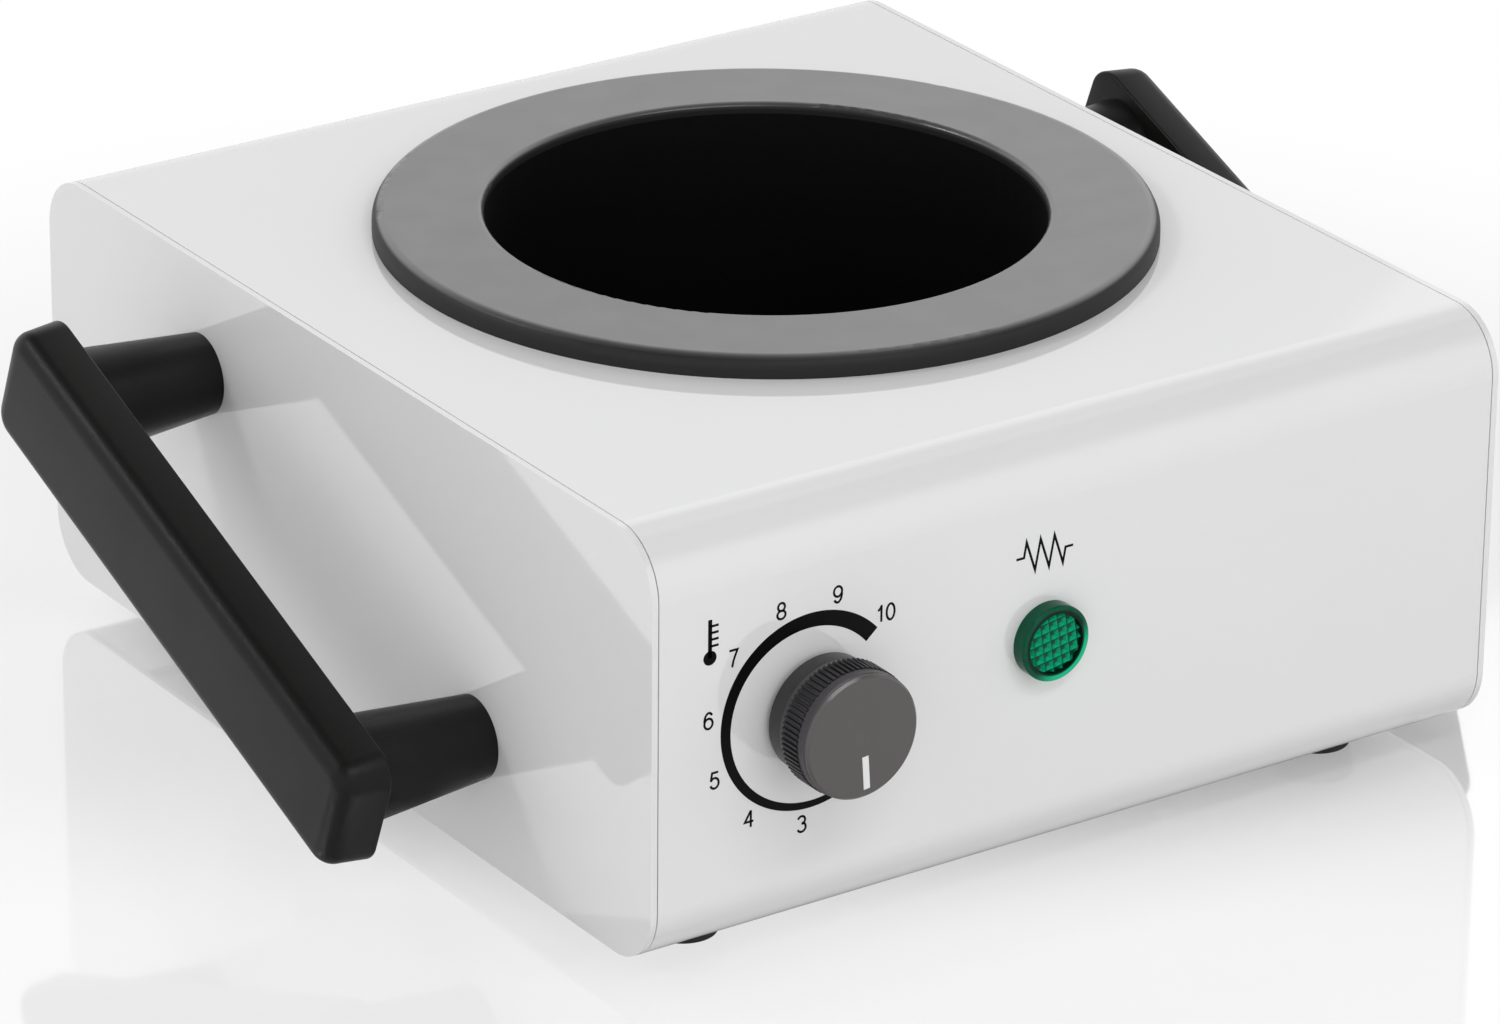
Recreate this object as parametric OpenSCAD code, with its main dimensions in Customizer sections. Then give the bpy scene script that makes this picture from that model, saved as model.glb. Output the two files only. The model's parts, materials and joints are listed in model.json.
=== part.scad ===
// Wax warmer: a sheet-metal housing with a heated well, a thermostat knob, a pilot lamp and two handles.
// X runs to the right, Y to the rear and Z up. The origin is on the table, under the middle of the housing.

/* [Housing] */
// Width of the housing, side to side
body_w = 225; // [215:1:260]
// Depth of the housing, front to rear
body_d = 254; // [244:1:300]
// Height of the housing without its feet
body_h = 100; // [97:1:130]
// Outer radius of the four long bends
bend_r = 14; // [8:0.5:18]
// Thickness of the sheet wrapped round the housing
sheet_t = 1.2; // [0.8:0.1:1.6]
// Thickness of each side plate
side_t = 1.5; // [1:0.1:2.5]
// Open seam between the wrapped sheet and each side plate
seam = 0.3; // [0.1:0.05:0.6]
// Depth of the flange folded in from each side plate
side_flange = 12; // [6:1:20]
// Width of the flanges folded in under the housing
bottom_flange = 24; // [22:1:30]

/* [Base and feet] */
// Thickness of the base plate
base_t = 1.2; // [0.8:0.1:1.6]
// Height of the base plate's upturned sides
base_lip = 10; // [5:1:18]
// Width of each vent slot
slot_w = 3; // [2:0.5:4]
// Length of each vent slot
slot_len = 28; // [15:1:34]
// Spacing of the vent slots
slot_pitch = 12; // [8:1:16]
// Height of the rubber feet
foot_h = 7; // [6:0.5:12]
// Radius of a foot where it meets the housing
foot_r = 9; // [7.5:0.5:10]
// Distance of each foot from the housing's side
foot_inset_x = 26; // [22:1:40]
// Distance of each foot from the housing's front or rear
foot_inset_y = 27; // [25:0.5:28]

/* [Collar and pot] */
// Sideways place of the well
well_x = 7; // [0:0.5:12]
// Place of the well towards the rear
well_y = 7.5; // [0:0.5:15]
// Inside radius of the pot
pot_r = 64.2; // [50:0.1:66]
// Depth of the pot from its rim
pot_depth = 82; // [60:1:86]
// Wall of the pot
pot_wall = 2; // [1.5:0.1:2.5]
// Inside radius between the pot's wall and floor
pot_corner = 8; // [3:0.5:14]
// Width of the pot's flange, past its wall
pot_flange_w = 14.5; // [12:0.5:16]
// Thickness of the pot's flange
pot_flange_t = 1.5; // [1:0.1:2]
// Thickness of the gasket under that flange
gasket_t = 1; // [0.5:0.1:1.5]
// Width of the collar past the pot's flange
collar_land = 8.9; // [8:0.1:14]
// Height of the collar above the housing
collar_h = 5; // [4.5:0.1:8]
// Rounding of the collar's outer edge
collar_round = 2.8; // [1:0.1:4]
// Rounding of the collar's inner edge
lip_round = 1.5; // [0.5:0.1:2.4]

/* [Heater] */
// Height of the heater band
band_h = 40; // [20:1:46]
// Thickness of the heater band
band_t = 2.5; // [1.5:0.1:3]
// Height of the band's lower edge above the pot's underside
band_lift = 12; // [9:0.5:16]
// Angle of the band's gap, seen from above
band_angle = 225; // [215:1:235]
// Width of the gap in the heater band, as an angle
band_gap = 20; // [16:1:24]
// How far the clamp lugs stand out
lug_w = 12; // [10:0.5:14]
// Thickness of the insulation sleeve
sleeve_t = 7; // [4:0.5:9]
// Height of the insulation sleeve
sleeve_h = 57; // [54:1:64]
// Thickness of the insulation disc under the pot
disc_t = 8; // [5:0.5:9]
// Radius of the circle that the disc's pillars stand on
pillar_circle_r = 50; // [40:1:56]
// Radius of each pillar
pillar_r = 4; // [3:0.5:6]
// Radius of the thermal cut-out
cutout_r = 8; // [6:0.5:9]
// Length of the thermostat's sensor bulb
bulb_len = 48; // [30:1:50]
// Radius of the sensor bulb
bulb_r = 3; // [2:0.1:3.2]

/* [Thermostat] */
// Distance of the dial from the housing's left side
dial_inset = 41.9; // [36.5:0.1:50]
// Height of the dial above the housing's underside
dial_h = 52.1; // [40:0.1:60]
// Width of the switch
switch_w = 38; // [28:1:42]
// Height of the switch
switch_h = 42; // [30:1:48]
// Depth of the switch behind the panel
switch_d = 22; // [18:1:26]
// Radius of the threaded bush through the panel
bush_r = 5; // [4.5:0.1:6]
// Length of the bush in front of the panel
bush_out = 4.5; // [4.2:0.1:5]
// Radius of the spindle
spindle_r = 3; // [2.5:0.1:3.2]
// Clearance round the spindle in its bush
spindle_play = 0.05; // [0.02:0.01:0.1]
// Thickness of the bush nut
nut_t = 3; // [2:0.1:3.2]

/* [Knob] */
// Setting that the pointer shows at rest
knob_setting = 2.7; // [1:0.01:10]
// Air between the panel and the knob
knob_air = 1.4; // [0.5:0.1:2]
// Length of the knob with its cap
knob_len = 16.2; // [15.5:0.1:20]
// Radius of the knob's rear flange
knob_flange_r = 13.5; // [13:0.1:14.2]
// Radius over the ribs
rib_crest_r = 14.6; // [14.4:0.1:16]
// Depth of the ribs
rib_depth = 0.45; // [0.2:0.05:0.7]
// Number of ribs round the knob
rib_count = 72; // [36:4:90]
// Length of the ribbed band
rib_len = 5.8; // [4:0.1:6.5]
// Length of the smooth band in front of the ribs
front_band = 2.5; // [1.5:0.1:4]
// Radius of the smooth band
knob_front_r = 14.3; // [14:0.05:15]
// Radius of the cap disc
cap_r = 14.2; // [13.5:0.05:15]
// How far the cap disc bulges
cap_dome = 0.5; // [0.2:0.1:1]
// Width of the pointer
pointer_w = 1.6; // [0.8:0.1:2.5]
// Inner end of the pointer from the knob's axis
pointer_in = 4.3; // [2:0.1:8]
// Outer end of the pointer from the knob's axis
pointer_out = 12.2; // [10:0.1:12.8]

/* [Pilot lamp] */
// Distance of the lamp from the housing's left side
lamp_inset = 102; // [92:0.1:130]
// Height of the lamp above the housing's underside
lamp_h = 53.4; // [40:0.1:60]
// Radius of the lens
lens_r = 8.8; // [8:0.1:12]
// How far the lens stands out
lens_out = 3.7; // [2.8:0.1:6]
// Radius of the waffle field in the lens
waffle_r = 6.9; // [4:0.1:7.2]
// Spacing of the waffle's ridges
waffle_pitch = 2.24; // [1.6:0.02:3]
// Turn of the waffle, seen from the front
waffle_turn = 9; // [0:1:45]
// Radius of the lamp's holder behind the panel
holder_r = 6.4; // [5.8:0.1:6.8]
// Length of the lamp's holder
holder_len = 25; // [20:1:34]

/* [Handles] */
// Distance between a handle's posts
post_span = 123.3; // [110:0.1:140]
// Slope of the handles, up towards the rear
handle_tilt = 21.2; // [0:0.1:24]
// Height of the handles' middle above the housing's underside
handle_h = 50.8; // [46:0.1:54]
// Length of the posts
post_len = 32.3; // [24:0.1:45]
// Radius of a post at the housing
post_r = 9.55; // [8:0.05:12]
// Radius of a post at the bar
post_bar_r = 12.4; // [9:0.1:12.8]
// Length of the bar
bar_len = 156; // [146:1:175]
// Width of the bar at its inner face
bar_w = 31; // [26:0.5:34]
// Draft of the bar, from its inner to its outer face on each side
bar_draft = 0.8; // [0:0.1:2]
// Thickness of the bar
bar_t = 12; // [11:0.5:16]
// Rounding of the bar's outer edges
bar_round = 4.5; // [2:0.1:6]
// Radius of the bar's corners, seen from the side of the housing
bar_corner = 6.5; // [2:0.1:9]
// Radius of the handle screws
screw_r = 2.5; // [2:0.1:3]

/* [Cable gland] */
// Distance of the gland from the housing's left side
gland_inset = 34.5; // [30:0.5:46]
// Height of the gland above the housing's underside
gland_h = 28; // [22:1:40]
// How far the gland stands out
gland_out = 17.2; // [15:0.1:24]
// Radius of the gland's thread
gland_thread_r = 7.9; // [7:0.1:9]
// Radius of the hole for the cable
cable_r = 3.8; // [3:0.1:4.5]

/* [Wiring] */
// Radius of an insulated wire
wire_r = 1.1; // [0.7:0.1:1.2]
// Radius of the capillary tube
capillary_r = 0.8; // [0.5:0.1:1.2]

/* [Hidden] */

// Facets asked for on round parts, which stay true circles
fine = 96;
// Air between a piece and the one it is pushed into
fit_air = 0.15;
// Clearance of a screw in its hole
screw_air = 0.2;
// Air round a screw in the hole it grips
grip_air = 0.05;
// Radius of the screws in the base, the feet and the earth stud
base_screw_r = 2;
base_head_r = 3.8;
base_head_h = 2.4;
// Radius of the screws of the pillars and the terminal block
small_screw_r = 1.5;
cut = 1;

front_y = -body_d / 2;
rear_y = body_d / 2;
panel_in_y = front_y + sheet_t;
rear_in_y = rear_y - sheet_t;
top_z = foot_h + body_h;
wrap_len = body_w - 2 * (side_t + seam);
base_z = foot_h + sheet_t;
base_top = base_z + base_t;
base_half_y = body_d / 2 - bend_r - 1;
base_half_x = body_w / 2 - side_t - seam;
foot_x = body_w / 2 - foot_inset_x;
foot_y = body_d / 2 - foot_inset_y;

pot_out_r = pot_r + pot_wall;
pot_flange_r = pot_out_r + pot_flange_w;
collar_r = pot_flange_r + collar_land;
top_hole_r = pot_out_r + 6;
flange_z = top_z + gasket_t;
rim_z = flange_z + pot_flange_t;
pot_floor_z = rim_z - pot_depth;
pot_under_z = pot_floor_z - pot_wall;
flange_air = 0.5;
collar_screw_r = 1.5;
collar_screw_circle = (pot_flange_r + flange_air + collar_r) / 2;

band_in_r = pot_out_r + fit_air;
band_out_r = band_in_r + band_t;
band_z = pot_under_z + band_lift;
band_mid_z = band_z + band_h / 2;
lug_out_r = band_out_r + lug_w;
lug_t = 1.5;
band_bolt_r = 2;
band_bolt_circle = lug_out_r - 4;
sleeve_r = band_out_r + 0.4;
sleeve_out_r = sleeve_r + sleeve_t;
disc_z = pot_under_z - fit_air - disc_t;
disc_hole_r = cutout_r + 3;
pillar_h = disc_z - base_top;
bulb_circle = pot_out_r + fit_air + bulb_r;
bulb_z = band_z + 2;
clip_h = 10;

dial_x = dial_inset - body_w / 2;
lamp_x = lamp_inset - body_w / 2;
gland_x = gland_inset - body_w / 2;
dial_z = foot_h + dial_h;
lamp_z = foot_h + lamp_h;
handle_z = foot_h + handle_h;
gland_z = foot_h + gland_h;
washer_t = 0.8;
bush_air = 0.2;
switch_back_y = panel_in_y + switch_d;
cup_r = 13;
cup_h = 4;

// The scale runs clockwise at 31.8 degrees a number, with 3 just left of straight down
scale_step = 31.8;
scale_three = -94;
pointer_angle = scale_three - scale_step * (knob_setting - 3);

hub_back = 4;
hub_r = 5.2;
hub_deep = 12.3;
spindle_front = knob_air + 12;
flat_depth = 1.4;
flat_start = bush_out + 0.3;
cap_edge = 0.9;
cap_chamfer = 0.55;
skirt_edge = 0.4;
flare = 2;
cap_top = cap_edge + cap_dome;
cap_seat = knob_len - cap_top;
boss_r = 9;
boss_deep = 1.2;
rib_back = cap_seat - front_band - rib_len;
rib_root_r = rib_crest_r - rib_depth;
dome_r = (cap_r * cap_r + cap_dome * cap_dome) / (2 * cap_dome);
pointer_deep = 1;
pointer_air = 0.03;
function dome_drop(r) = sqrt(dome_r * dome_r - r * r) - dome_r;

// A housing outline in Y and Z, its long edges rounded
module outline(d, h, r) {
    translate([-d / 2 + r, 0]) square([d - 2 * r, h]);
    translate([-d / 2, r]) square([d, h - 2 * r]);
    for (y = [-1, 1], z = [r, h - r]) translate([y * (d / 2 - r), z]) circle(r = r, $fn = fine);
}

// The housing outline moved in by a distance
module inner_outline(in) {
    translate([0, in]) outline(body_d - 2 * in, body_h - 2 * in, bend_r - in);
}

// A flat shape in Y and Z, made solid along X and centred
module along_x(len) {
    rotate([90, 0, 90]) translate([0, 0, -len / 2]) linear_extrude(len) children();
}

// A cylinder that runs towards the front from a point
module to_front(r, len, r2 = undef, sides = fine) {
    rotate([90, 0, 0]) cylinder(h = len, r1 = r, r2 = is_undef(r2) ? r : r2, $fn = sides);
}

// A hexagon nut with its bore, standing on its face
module hex_nut(across, t, bore) {
    difference() {
        cylinder(h = t, r = across / sqrt(3), $fn = 6);
        translate([0, 0, -cut]) cylinder(h = t + 2 * cut, r = bore, $fn = fine);
    }
}

// A pan-head screw pointing up, with its head below the seat
module pan_screw(r, len, head_r, head_h) {
    cylinder(h = len, r = r, $fn = fine);
    difference() {
        translate([0, 0, -head_h]) cylinder(h = head_h, r = head_r, $fn = fine);
        translate([-0.4, -head_r * 0.7, -head_h - cut]) cube([0.8, head_r * 1.4, cut + head_h * 0.4]);
        translate([-head_r * 0.7, -0.4, -head_h - cut]) cube([head_r * 1.4, 0.8, cut + head_h * 0.4]);
    }
}

// A flat ring standing on its face
module ring(r_in, r_out, h) {
    difference() {
        cylinder(h = h, r = r_out, $fn = fine);
        hole(r_in, h);
    }
}

// A round cutter that goes through a plate of thickness h standing on the XY plane
module hole(r, h) {
    translate([0, 0, -cut]) cylinder(h = h + 2 * cut, r = r, $fn = fine);
}

// Everything centred on the well
module at_well() {
    translate([well_x, well_y, 0]) children();
}

// Copies round the well at a radius
module round_well(r, count, first = 0) {
    at_well() for (i = [0 : count - 1])
        rotate([0, 0, first + i * 360 / count]) translate([r, 0, 0]) children();
}

// The four foot positions
module at_feet() {
    for (x = [-1, 1], y = [-1, 1]) translate([x * foot_x, y * foot_y, 0]) children();
}

// The four base screw positions
module at_base_screws() {
    for (x = [-1, 1], y = [-1, 1]) translate([x * foot_x / 2, y * foot_y, 0]) children();
}

// Handle space: X outwards from the side plate, Y along the bar and up to the rear
module at_handle(side) {
    mirror([side < 0 ? 1 : 0, 0, 0])
        translate([body_w / 2, 0, handle_z]) rotate([handle_tilt, 0, 0]) children();
}

// The two posts of a handle, with X outwards
module at_posts() {
    for (y = [-1, 1]) translate([0, y * post_span / 2, 0]) rotate([0, 90, 0]) children();
}

module housing_wrap() {
    color([0.93, 0.93, 0.93]) difference() {
        translate([0, 0, foot_h]) along_x(wrap_len) difference() {
            outline(body_d, body_h, bend_r);
            inner_outline(sheet_t);
            translate([-base_half_y - 1 + bottom_flange, -cut])
                square([2 * (base_half_y + 1 - bottom_flange), sheet_t + 2 * cut]);
        }
        translate([0, 0, top_z - sheet_t]) {
            at_well() hole(top_hole_r, sheet_t);
            round_well(collar_screw_circle, 4, 45) hole(collar_screw_r + screw_air, sheet_t);
        }
        translate([dial_x, panel_in_y + cut, dial_z]) to_front(bush_r + bush_air, sheet_t + 2 * cut);
        translate([lamp_x, panel_in_y + cut, lamp_z]) to_front(holder_r + fit_air, sheet_t + 2 * cut);
        translate([gland_x, rear_y + cut, gland_z]) to_front(gland_thread_r + fit_air, sheet_t + 2 * cut);
        translate([0, 0, foot_h]) {
            at_feet() hole(base_screw_r + screw_air, sheet_t);
            at_base_screws() hole(base_screw_r + screw_air, sheet_t);
        }
    }
}

module side_plate(side) {
    flange_in = sheet_t + 0.2;
    color([0.93, 0.93, 0.93]) difference() {
        mirror([side < 0 ? 1 : 0, 0, 0]) translate([0, 0, foot_h]) {
            translate([body_w / 2 - side_t / 2, 0, 0]) along_x(side_t) outline(body_d, body_h, bend_r);
            translate([body_w / 2 - side_t - side_flange / 2, 0, 0]) along_x(side_flange) difference() {
                inner_outline(flange_in);
                inner_outline(flange_in + sheet_t);
                translate([-body_d, -cut]) square([2 * body_d, bend_r + 6 + cut]);
            }
        }
        at_handle(side) at_posts() translate([0, 0, -side_t]) hole(screw_r + screw_air, side_t);
    }
}

module vent_slots() {
    for (i = [-4 : 4], y = [-1, 1])
        translate([i * slot_pitch - slot_w / 2, y * (base_half_y - 42) - slot_len / 2, base_z - cut])
            cube([slot_w, slot_len, base_t + 2 * cut]);
}

module base_plate() {
    color([0.75, 0.76, 0.78]) difference() {
        union() {
            translate([-base_half_x, -base_half_y, base_z])
                cube([2 * base_half_x, 2 * base_half_y, base_t]);
            for (x = [-base_half_x, base_half_x - base_t])
                translate([x, -base_half_y, base_z]) cube([base_t, 2 * base_half_y, base_lip]);
        }
        vent_slots();
        translate([0, 0, base_z]) {
            at_feet() hole(base_screw_r + screw_air, base_t);
            at_base_screws() hole(base_screw_r + grip_air, base_t);
            round_well(pillar_circle_r, 4, 45) hole(small_screw_r + screw_air, base_t);
            translate([gland_x + block_screw_x, block_y]) hole(small_screw_r + grip_air, base_t);
        }
        translate(earth_place) translate([0, 0, -base_t]) hole(base_screw_r + grip_air, base_t);
    }
}

module base_screws() {
    color([0.7, 0.7, 0.72]) at_base_screws() translate([0, 0, foot_h])
        pan_screw(base_screw_r, sheet_t + base_t + 3, base_head_r, base_head_h);
}

foot_bore = 4.6;
foot_seat = 3.2;

module rubber_feet() {
    color([0.12, 0.12, 0.12]) at_feet() difference() {
        cylinder(h = foot_h, r1 = foot_r - 1.2, r2 = foot_r, $fn = fine);
        hole(base_screw_r + screw_air, foot_h);
        translate([0, 0, -cut]) cylinder(h = foot_seat + cut, r = foot_bore, $fn = fine);
    }
}

module foot_screws() {
    color([0.7, 0.7, 0.72]) at_feet() translate([0, 0, foot_seat])
        pan_screw(base_screw_r, base_top + 5 - foot_seat, base_head_r, base_head_h);
}

module foot_nuts() {
    color([0.7, 0.7, 0.72]) at_feet() translate([0, 0, base_top]) hex_nut(7, 3.2, base_screw_r + grip_air);
}

// The collar's section: flat on top, its two edges rounded, and hollow underneath over the pot's flange
module collar_section() {
    hole_r = pot_r;
    hollow_r = pot_flange_r + flange_air;
    difference() {
        translate([hole_r, 0]) square([collar_r - hole_r, collar_h]);
        translate([hole_r - cut, -cut]) square([hollow_r - hole_r + cut, rim_z - top_z + cut]);
        translate([collar_r - collar_round, collar_h - collar_round]) difference() {
            square([collar_round + cut, collar_round + cut]);
            circle(r = collar_round, $fn = fine);
        }
        translate([hole_r + lip_round, collar_h - lip_round]) mirror([1, 0]) difference() {
            square([lip_round + cut, lip_round + cut]);
            circle(r = lip_round, $fn = fine);
        }
    }
}

module collar_ring() {
    color([0.1, 0.1, 0.1]) difference() {
        at_well() translate([0, 0, top_z]) rotate_extrude($fn = fine) collar_section();
        round_well(collar_screw_circle, 4, 45) translate([0, 0, top_z - cut])
            cylinder(h = collar_h - 1.6 + cut, r = collar_screw_r + grip_air, $fn = fine);
    }
}

module collar_screws() {
    color([0.7, 0.7, 0.72]) round_well(collar_screw_circle, 4, 45) translate([0, 0, top_z - sheet_t])
        pan_screw(collar_screw_r, sheet_t + collar_h - 2, 2.8, 2);
}

// Half a cup's section, with a rounded corner at its floor
module cup_section(r, h, corner) {
    square([r - corner, h]);
    translate([0, corner]) square([r, h - corner]);
    translate([r - corner, corner]) circle(r = corner, $fn = fine);
}

module heating_pot() {
    color([0.08, 0.08, 0.08]) at_well() translate([0, 0, pot_under_z]) rotate_extrude($fn = fine) {
        difference() {
            cup_section(pot_out_r, rim_z - pot_under_z, pot_corner + pot_wall);
            translate([0, pot_wall]) cup_section(pot_r, pot_depth + cut, pot_corner);
        }
        translate([pot_out_r - pot_wall / 2, flange_z - pot_under_z])
            square([pot_flange_w + pot_wall / 2, pot_flange_t]);
    }
}

module pot_gasket() {
    color([0.55, 0.2, 0.15]) at_well() translate([0, 0, top_z])
        ring(top_hole_r + 1, pot_flange_r, gasket_t);
}

// A wedge that opens from the well's axis, for gaps in rings
module wedge(half, r, h) {
    linear_extrude(h) polygon([[0, 0], [r, -r * tan(half)], [r, r * tan(half)]]);
}

lug_step = 0.4;

module heater_band() {
    color([0.72, 0.72, 0.7]) at_well() rotate([0, 0, band_angle]) translate([0, 0, band_z]) difference() {
        union() {
            difference() {
                ring(band_in_r, band_out_r, band_h);
                translate([0, 0, -cut]) wedge(band_gap / 2, band_out_r + 20, band_h + 2 * cut);
            }
            for (s = [-1, 1]) rotate([0, 0, s * band_gap / 2])
                translate([band_in_r + 0.5, s > 0 ? lug_step : -lug_step - lug_t, 0.2])
                    cube([lug_out_r - band_in_r - 0.5, lug_t, band_h - 0.4]);
        }
        translate([band_bolt_circle, 30, band_h / 2]) to_front(band_bolt_r + screw_air, 60);
    }
}

// Half the distance between the lugs at the clamp screw
bolt_half = band_bolt_circle * tan(band_gap / 2) + 2 * lug_t;

module band_screw() {
    color([0.7, 0.7, 0.72]) at_well() rotate([0, 0, band_angle])
        translate([band_bolt_circle, 0, band_mid_z]) {
        translate([0, -bolt_half, 0]) rotate([-90, 0, 0])
            pan_screw(band_bolt_r, 2 * bolt_half + 4, 3.4, 2.4);
        translate([0, bolt_half, 0]) rotate([-90, 0, 0]) hex_nut(6.6, 3, band_bolt_r + grip_air);
    }
}

module insulation_sleeve() {
    color([0.85, 0.84, 0.78]) at_well() rotate([0, 0, band_angle])
        translate([0, 0, disc_z + disc_t]) difference() {
        ring(sleeve_r, sleeve_out_r, sleeve_h);
        translate([0, 0, -cut]) wedge(band_gap / 2 + 8, sleeve_out_r + 20, sleeve_h + 2 * cut);
    }
}

module insulation_disc() {
    color([0.85, 0.84, 0.78]) at_well() translate([0, 0, disc_z]) ring(disc_hole_r, sleeve_out_r, disc_t);
}

module support_pillars() {
    color([0.8, 0.8, 0.82]) round_well(pillar_circle_r, 4, 45) translate([0, 0, base_top])
        ring(1.5 + grip_air, pillar_r, pillar_h);
}

module pillar_screws() {
    color([0.7, 0.7, 0.72]) round_well(pillar_circle_r, 4, 45) translate([0, 0, base_z])
        pan_screw(1.5, base_t + min(pillar_h, 6) - 0.5, 2.8, 1.8);
}

module thermal_cutout() {
    color([0.2, 0.2, 0.22]) at_well() translate([0, 0, pot_under_z - fit_air]) {
        translate([0, 0, -5.5]) cylinder(h = 5.5, r = cutout_r, $fn = fine);
        translate([0, 0, -9]) cylinder(h = 4, r = cutout_r - 0.6, $fn = fine);
        for (x = [-1, 1]) translate([x > 0 ? cutout_r - 2 : -cutout_r - 6, -3.1, -9.6]) cube([8, 6.2, 0.8]);
    }
}

module at_bulb() {
    at_well() rotate([0, 0, band_angle]) translate([bulb_circle, 0, 0]) children();
}

module sensor_bulb() {
    color([0.72, 0.45, 0.3]) at_bulb() translate([0, 0, bulb_z]) {
        cylinder(h = bulb_len, r = bulb_r, $fn = fine);
        translate([0, 0, bulb_len]) cylinder(h = 3, r1 = bulb_r, r2 = capillary_r + 0.3, $fn = fine);
    }
}

// A clip that presses the bulb on the pot's wall, its two feet on the wall
module bulb_clip() {
    inner = bulb_r + 0.1;
    outer = inner + 0.6;
    color([0.75, 0.75, 0.78]) difference() {
        union() {
            at_bulb() translate([0, 0, bulb_z + 6]) cylinder(h = clip_h, r = outer, $fn = fine);
            at_bulb() translate([-bulb_r, -outer - 2.5, bulb_z + 6]) cube([1.2, 2 * outer + 5, clip_h]);
        }
        at_bulb() translate([0, 0, bulb_z]) cylinder(h = bulb_len, r = inner, $fn = fine);
        at_well() translate([0, 0, bulb_z]) cylinder(h = bulb_len, r = pot_out_r + fit_air / 2, $fn = fine);
    }
}

module thermostat_switch() {
    color([0.88, 0.86, 0.8]) translate([dial_x, 0, dial_z]) difference() {
        union() {
            translate([-switch_w / 2, panel_in_y, -switch_h / 2]) cube([switch_w, switch_d, switch_h]);
            translate([0, panel_in_y + cut, 0]) to_front(bush_r, sheet_t + bush_out + cut);
            translate([0, switch_back_y + cup_h, cup_drop]) to_front(cup_r, cup_h + cut);
        }
        translate([0, panel_in_y + 14, 0])
            to_front(spindle_r + spindle_play, 14 + sheet_t + bush_out + cut);
    }
}

// The four blade terminals on the back of the switch
blade_x = [-12, 12];
blade_drop = [-17, -10];
cup_drop = 6;
blade_len = 7;

module thermostat_terminals() {
    color([0.8, 0.7, 0.35]) for (x = blade_x, z = blade_drop)
        translate([dial_x + x - 3.1, switch_back_y, dial_z + z - 0.4]) cube([6.2, blade_len, 0.8]);
}

module bush_washer() {
    color([0.75, 0.75, 0.78]) translate([dial_x, front_y, dial_z]) rotate([90, 0, 0])
        ring(bush_r + grip_air, bush_r + 3.5, washer_t);
}

module bush_nut() {
    color([0.75, 0.75, 0.78]) translate([dial_x, front_y - washer_t, dial_z]) rotate([90, 0, 0])
        hex_nut(14, nut_t, bush_r + grip_air);
}

// Knob space: the axis runs to the front, and the pointer lies along X
module at_knob() {
    translate([dial_x, front_y, dial_z]) rotate([90, 0, 0]) rotate([0, 0, pointer_angle]) children();
}

module thermostat_spindle() {
    color([0.8, 0.8, 0.82]) at_knob() difference() {
        translate([0, 0, -sheet_t - 12])
            cylinder(h = sheet_t + 12 + spindle_front, r = spindle_r, $fn = fine);
        translate([-5, spindle_r - flat_depth, flat_start]) cube([10, 5, spindle_front]);
    }
}

// The ribbed band's outline, a trapezoid tooth for each rib
module rib_outline() {
    step = 360 / rib_count;
    tooth = [[-0.3, rib_root_r], [-0.18, rib_crest_r], [0.18, rib_crest_r], [0.3, rib_root_r]];
    polygon([
        for (i = [0 : rib_count - 1], k = tooth) k[1] * [cos((i + k[0]) * step), sin((i + k[0]) * step)]
    ]);
}

// The knob's outside, as distances from the knob's back: a skirt, a flare up to the ribs, and a smooth band
module knob_section() {
    band_back = cap_seat - front_band;
    seat_r = boss_r + fit_air;
    seat_floor = cap_seat - boss_deep - fit_air;
    polygon([
        [0, 0],
        [knob_flange_r - skirt_edge, 0],
        [knob_flange_r, skirt_edge],
        [knob_flange_r, rib_back - flare],
        [rib_root_r, rib_back],
        [rib_root_r - 0.3, rib_back],
        [rib_root_r - 0.3, band_back],
        [knob_front_r, band_back],
        [knob_front_r, cap_seat - skirt_edge],
        [knob_front_r - skirt_edge, cap_seat],
        [seat_r, cap_seat],
        [seat_r, seat_floor],
        [0, seat_floor]
    ]);
}

module knob_body() {
    color([0.13, 0.13, 0.14]) at_knob() translate([0, 0, knob_air]) difference() {
        union() {
            rotate_extrude($fn = fine) difference() {
                knob_section();
                translate([hub_r, -cut]) square([knob_flange_r - 2.2 - hub_r, hub_deep + cut]);
                translate([-cut, -cut]) square([hub_r + 2 * cut, hub_back + cut]);
            }
            translate([0, 0, rib_back]) linear_extrude(rib_len) difference() {
                rib_outline();
                circle(r = rib_root_r - 1, $fn = fine);
            }
        }
        translate([0, 0, -cut]) difference() {
            cylinder(h = spindle_front - knob_air + 0.3 + cut, r = spindle_r + grip_air, $fn = fine);
            translate([-5, spindle_r - flat_depth + grip_air, 0]) cube([10, 5, spindle_front + 2 * cut]);
        }
    }
}

// The cap's domed section, with its chamfered edge and the boss that locates it
module cap_section() {
    difference() {
        intersection() {
            square([cap_r, cap_top]);
            translate([0, cap_top - dome_r]) circle(r = dome_r, $fn = 256);
        }
        translate([cap_r, cap_edge])
            polygon([[-cap_chamfer, 0], [-cap_chamfer, cut], [cut, cut], [cut, 0], [0, -cap_chamfer]]);
    }
    translate([0, -boss_deep]) square([boss_r, boss_deep + cap_edge / 2]);
}

module knob_cap() {
    color([0.22, 0.22, 0.23]) at_knob() translate([0, 0, knob_air + cap_seat]) difference() {
        rotate_extrude($fn = fine) cap_section();
        translate([pointer_in - pointer_air, -pointer_w / 2 - pointer_air, cap_top - pointer_deep])
            cube([
                pointer_out - pointer_in + 2 * pointer_air,
                pointer_w + 2 * pointer_air,
                pointer_deep + cut
            ]);
    }
}

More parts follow.
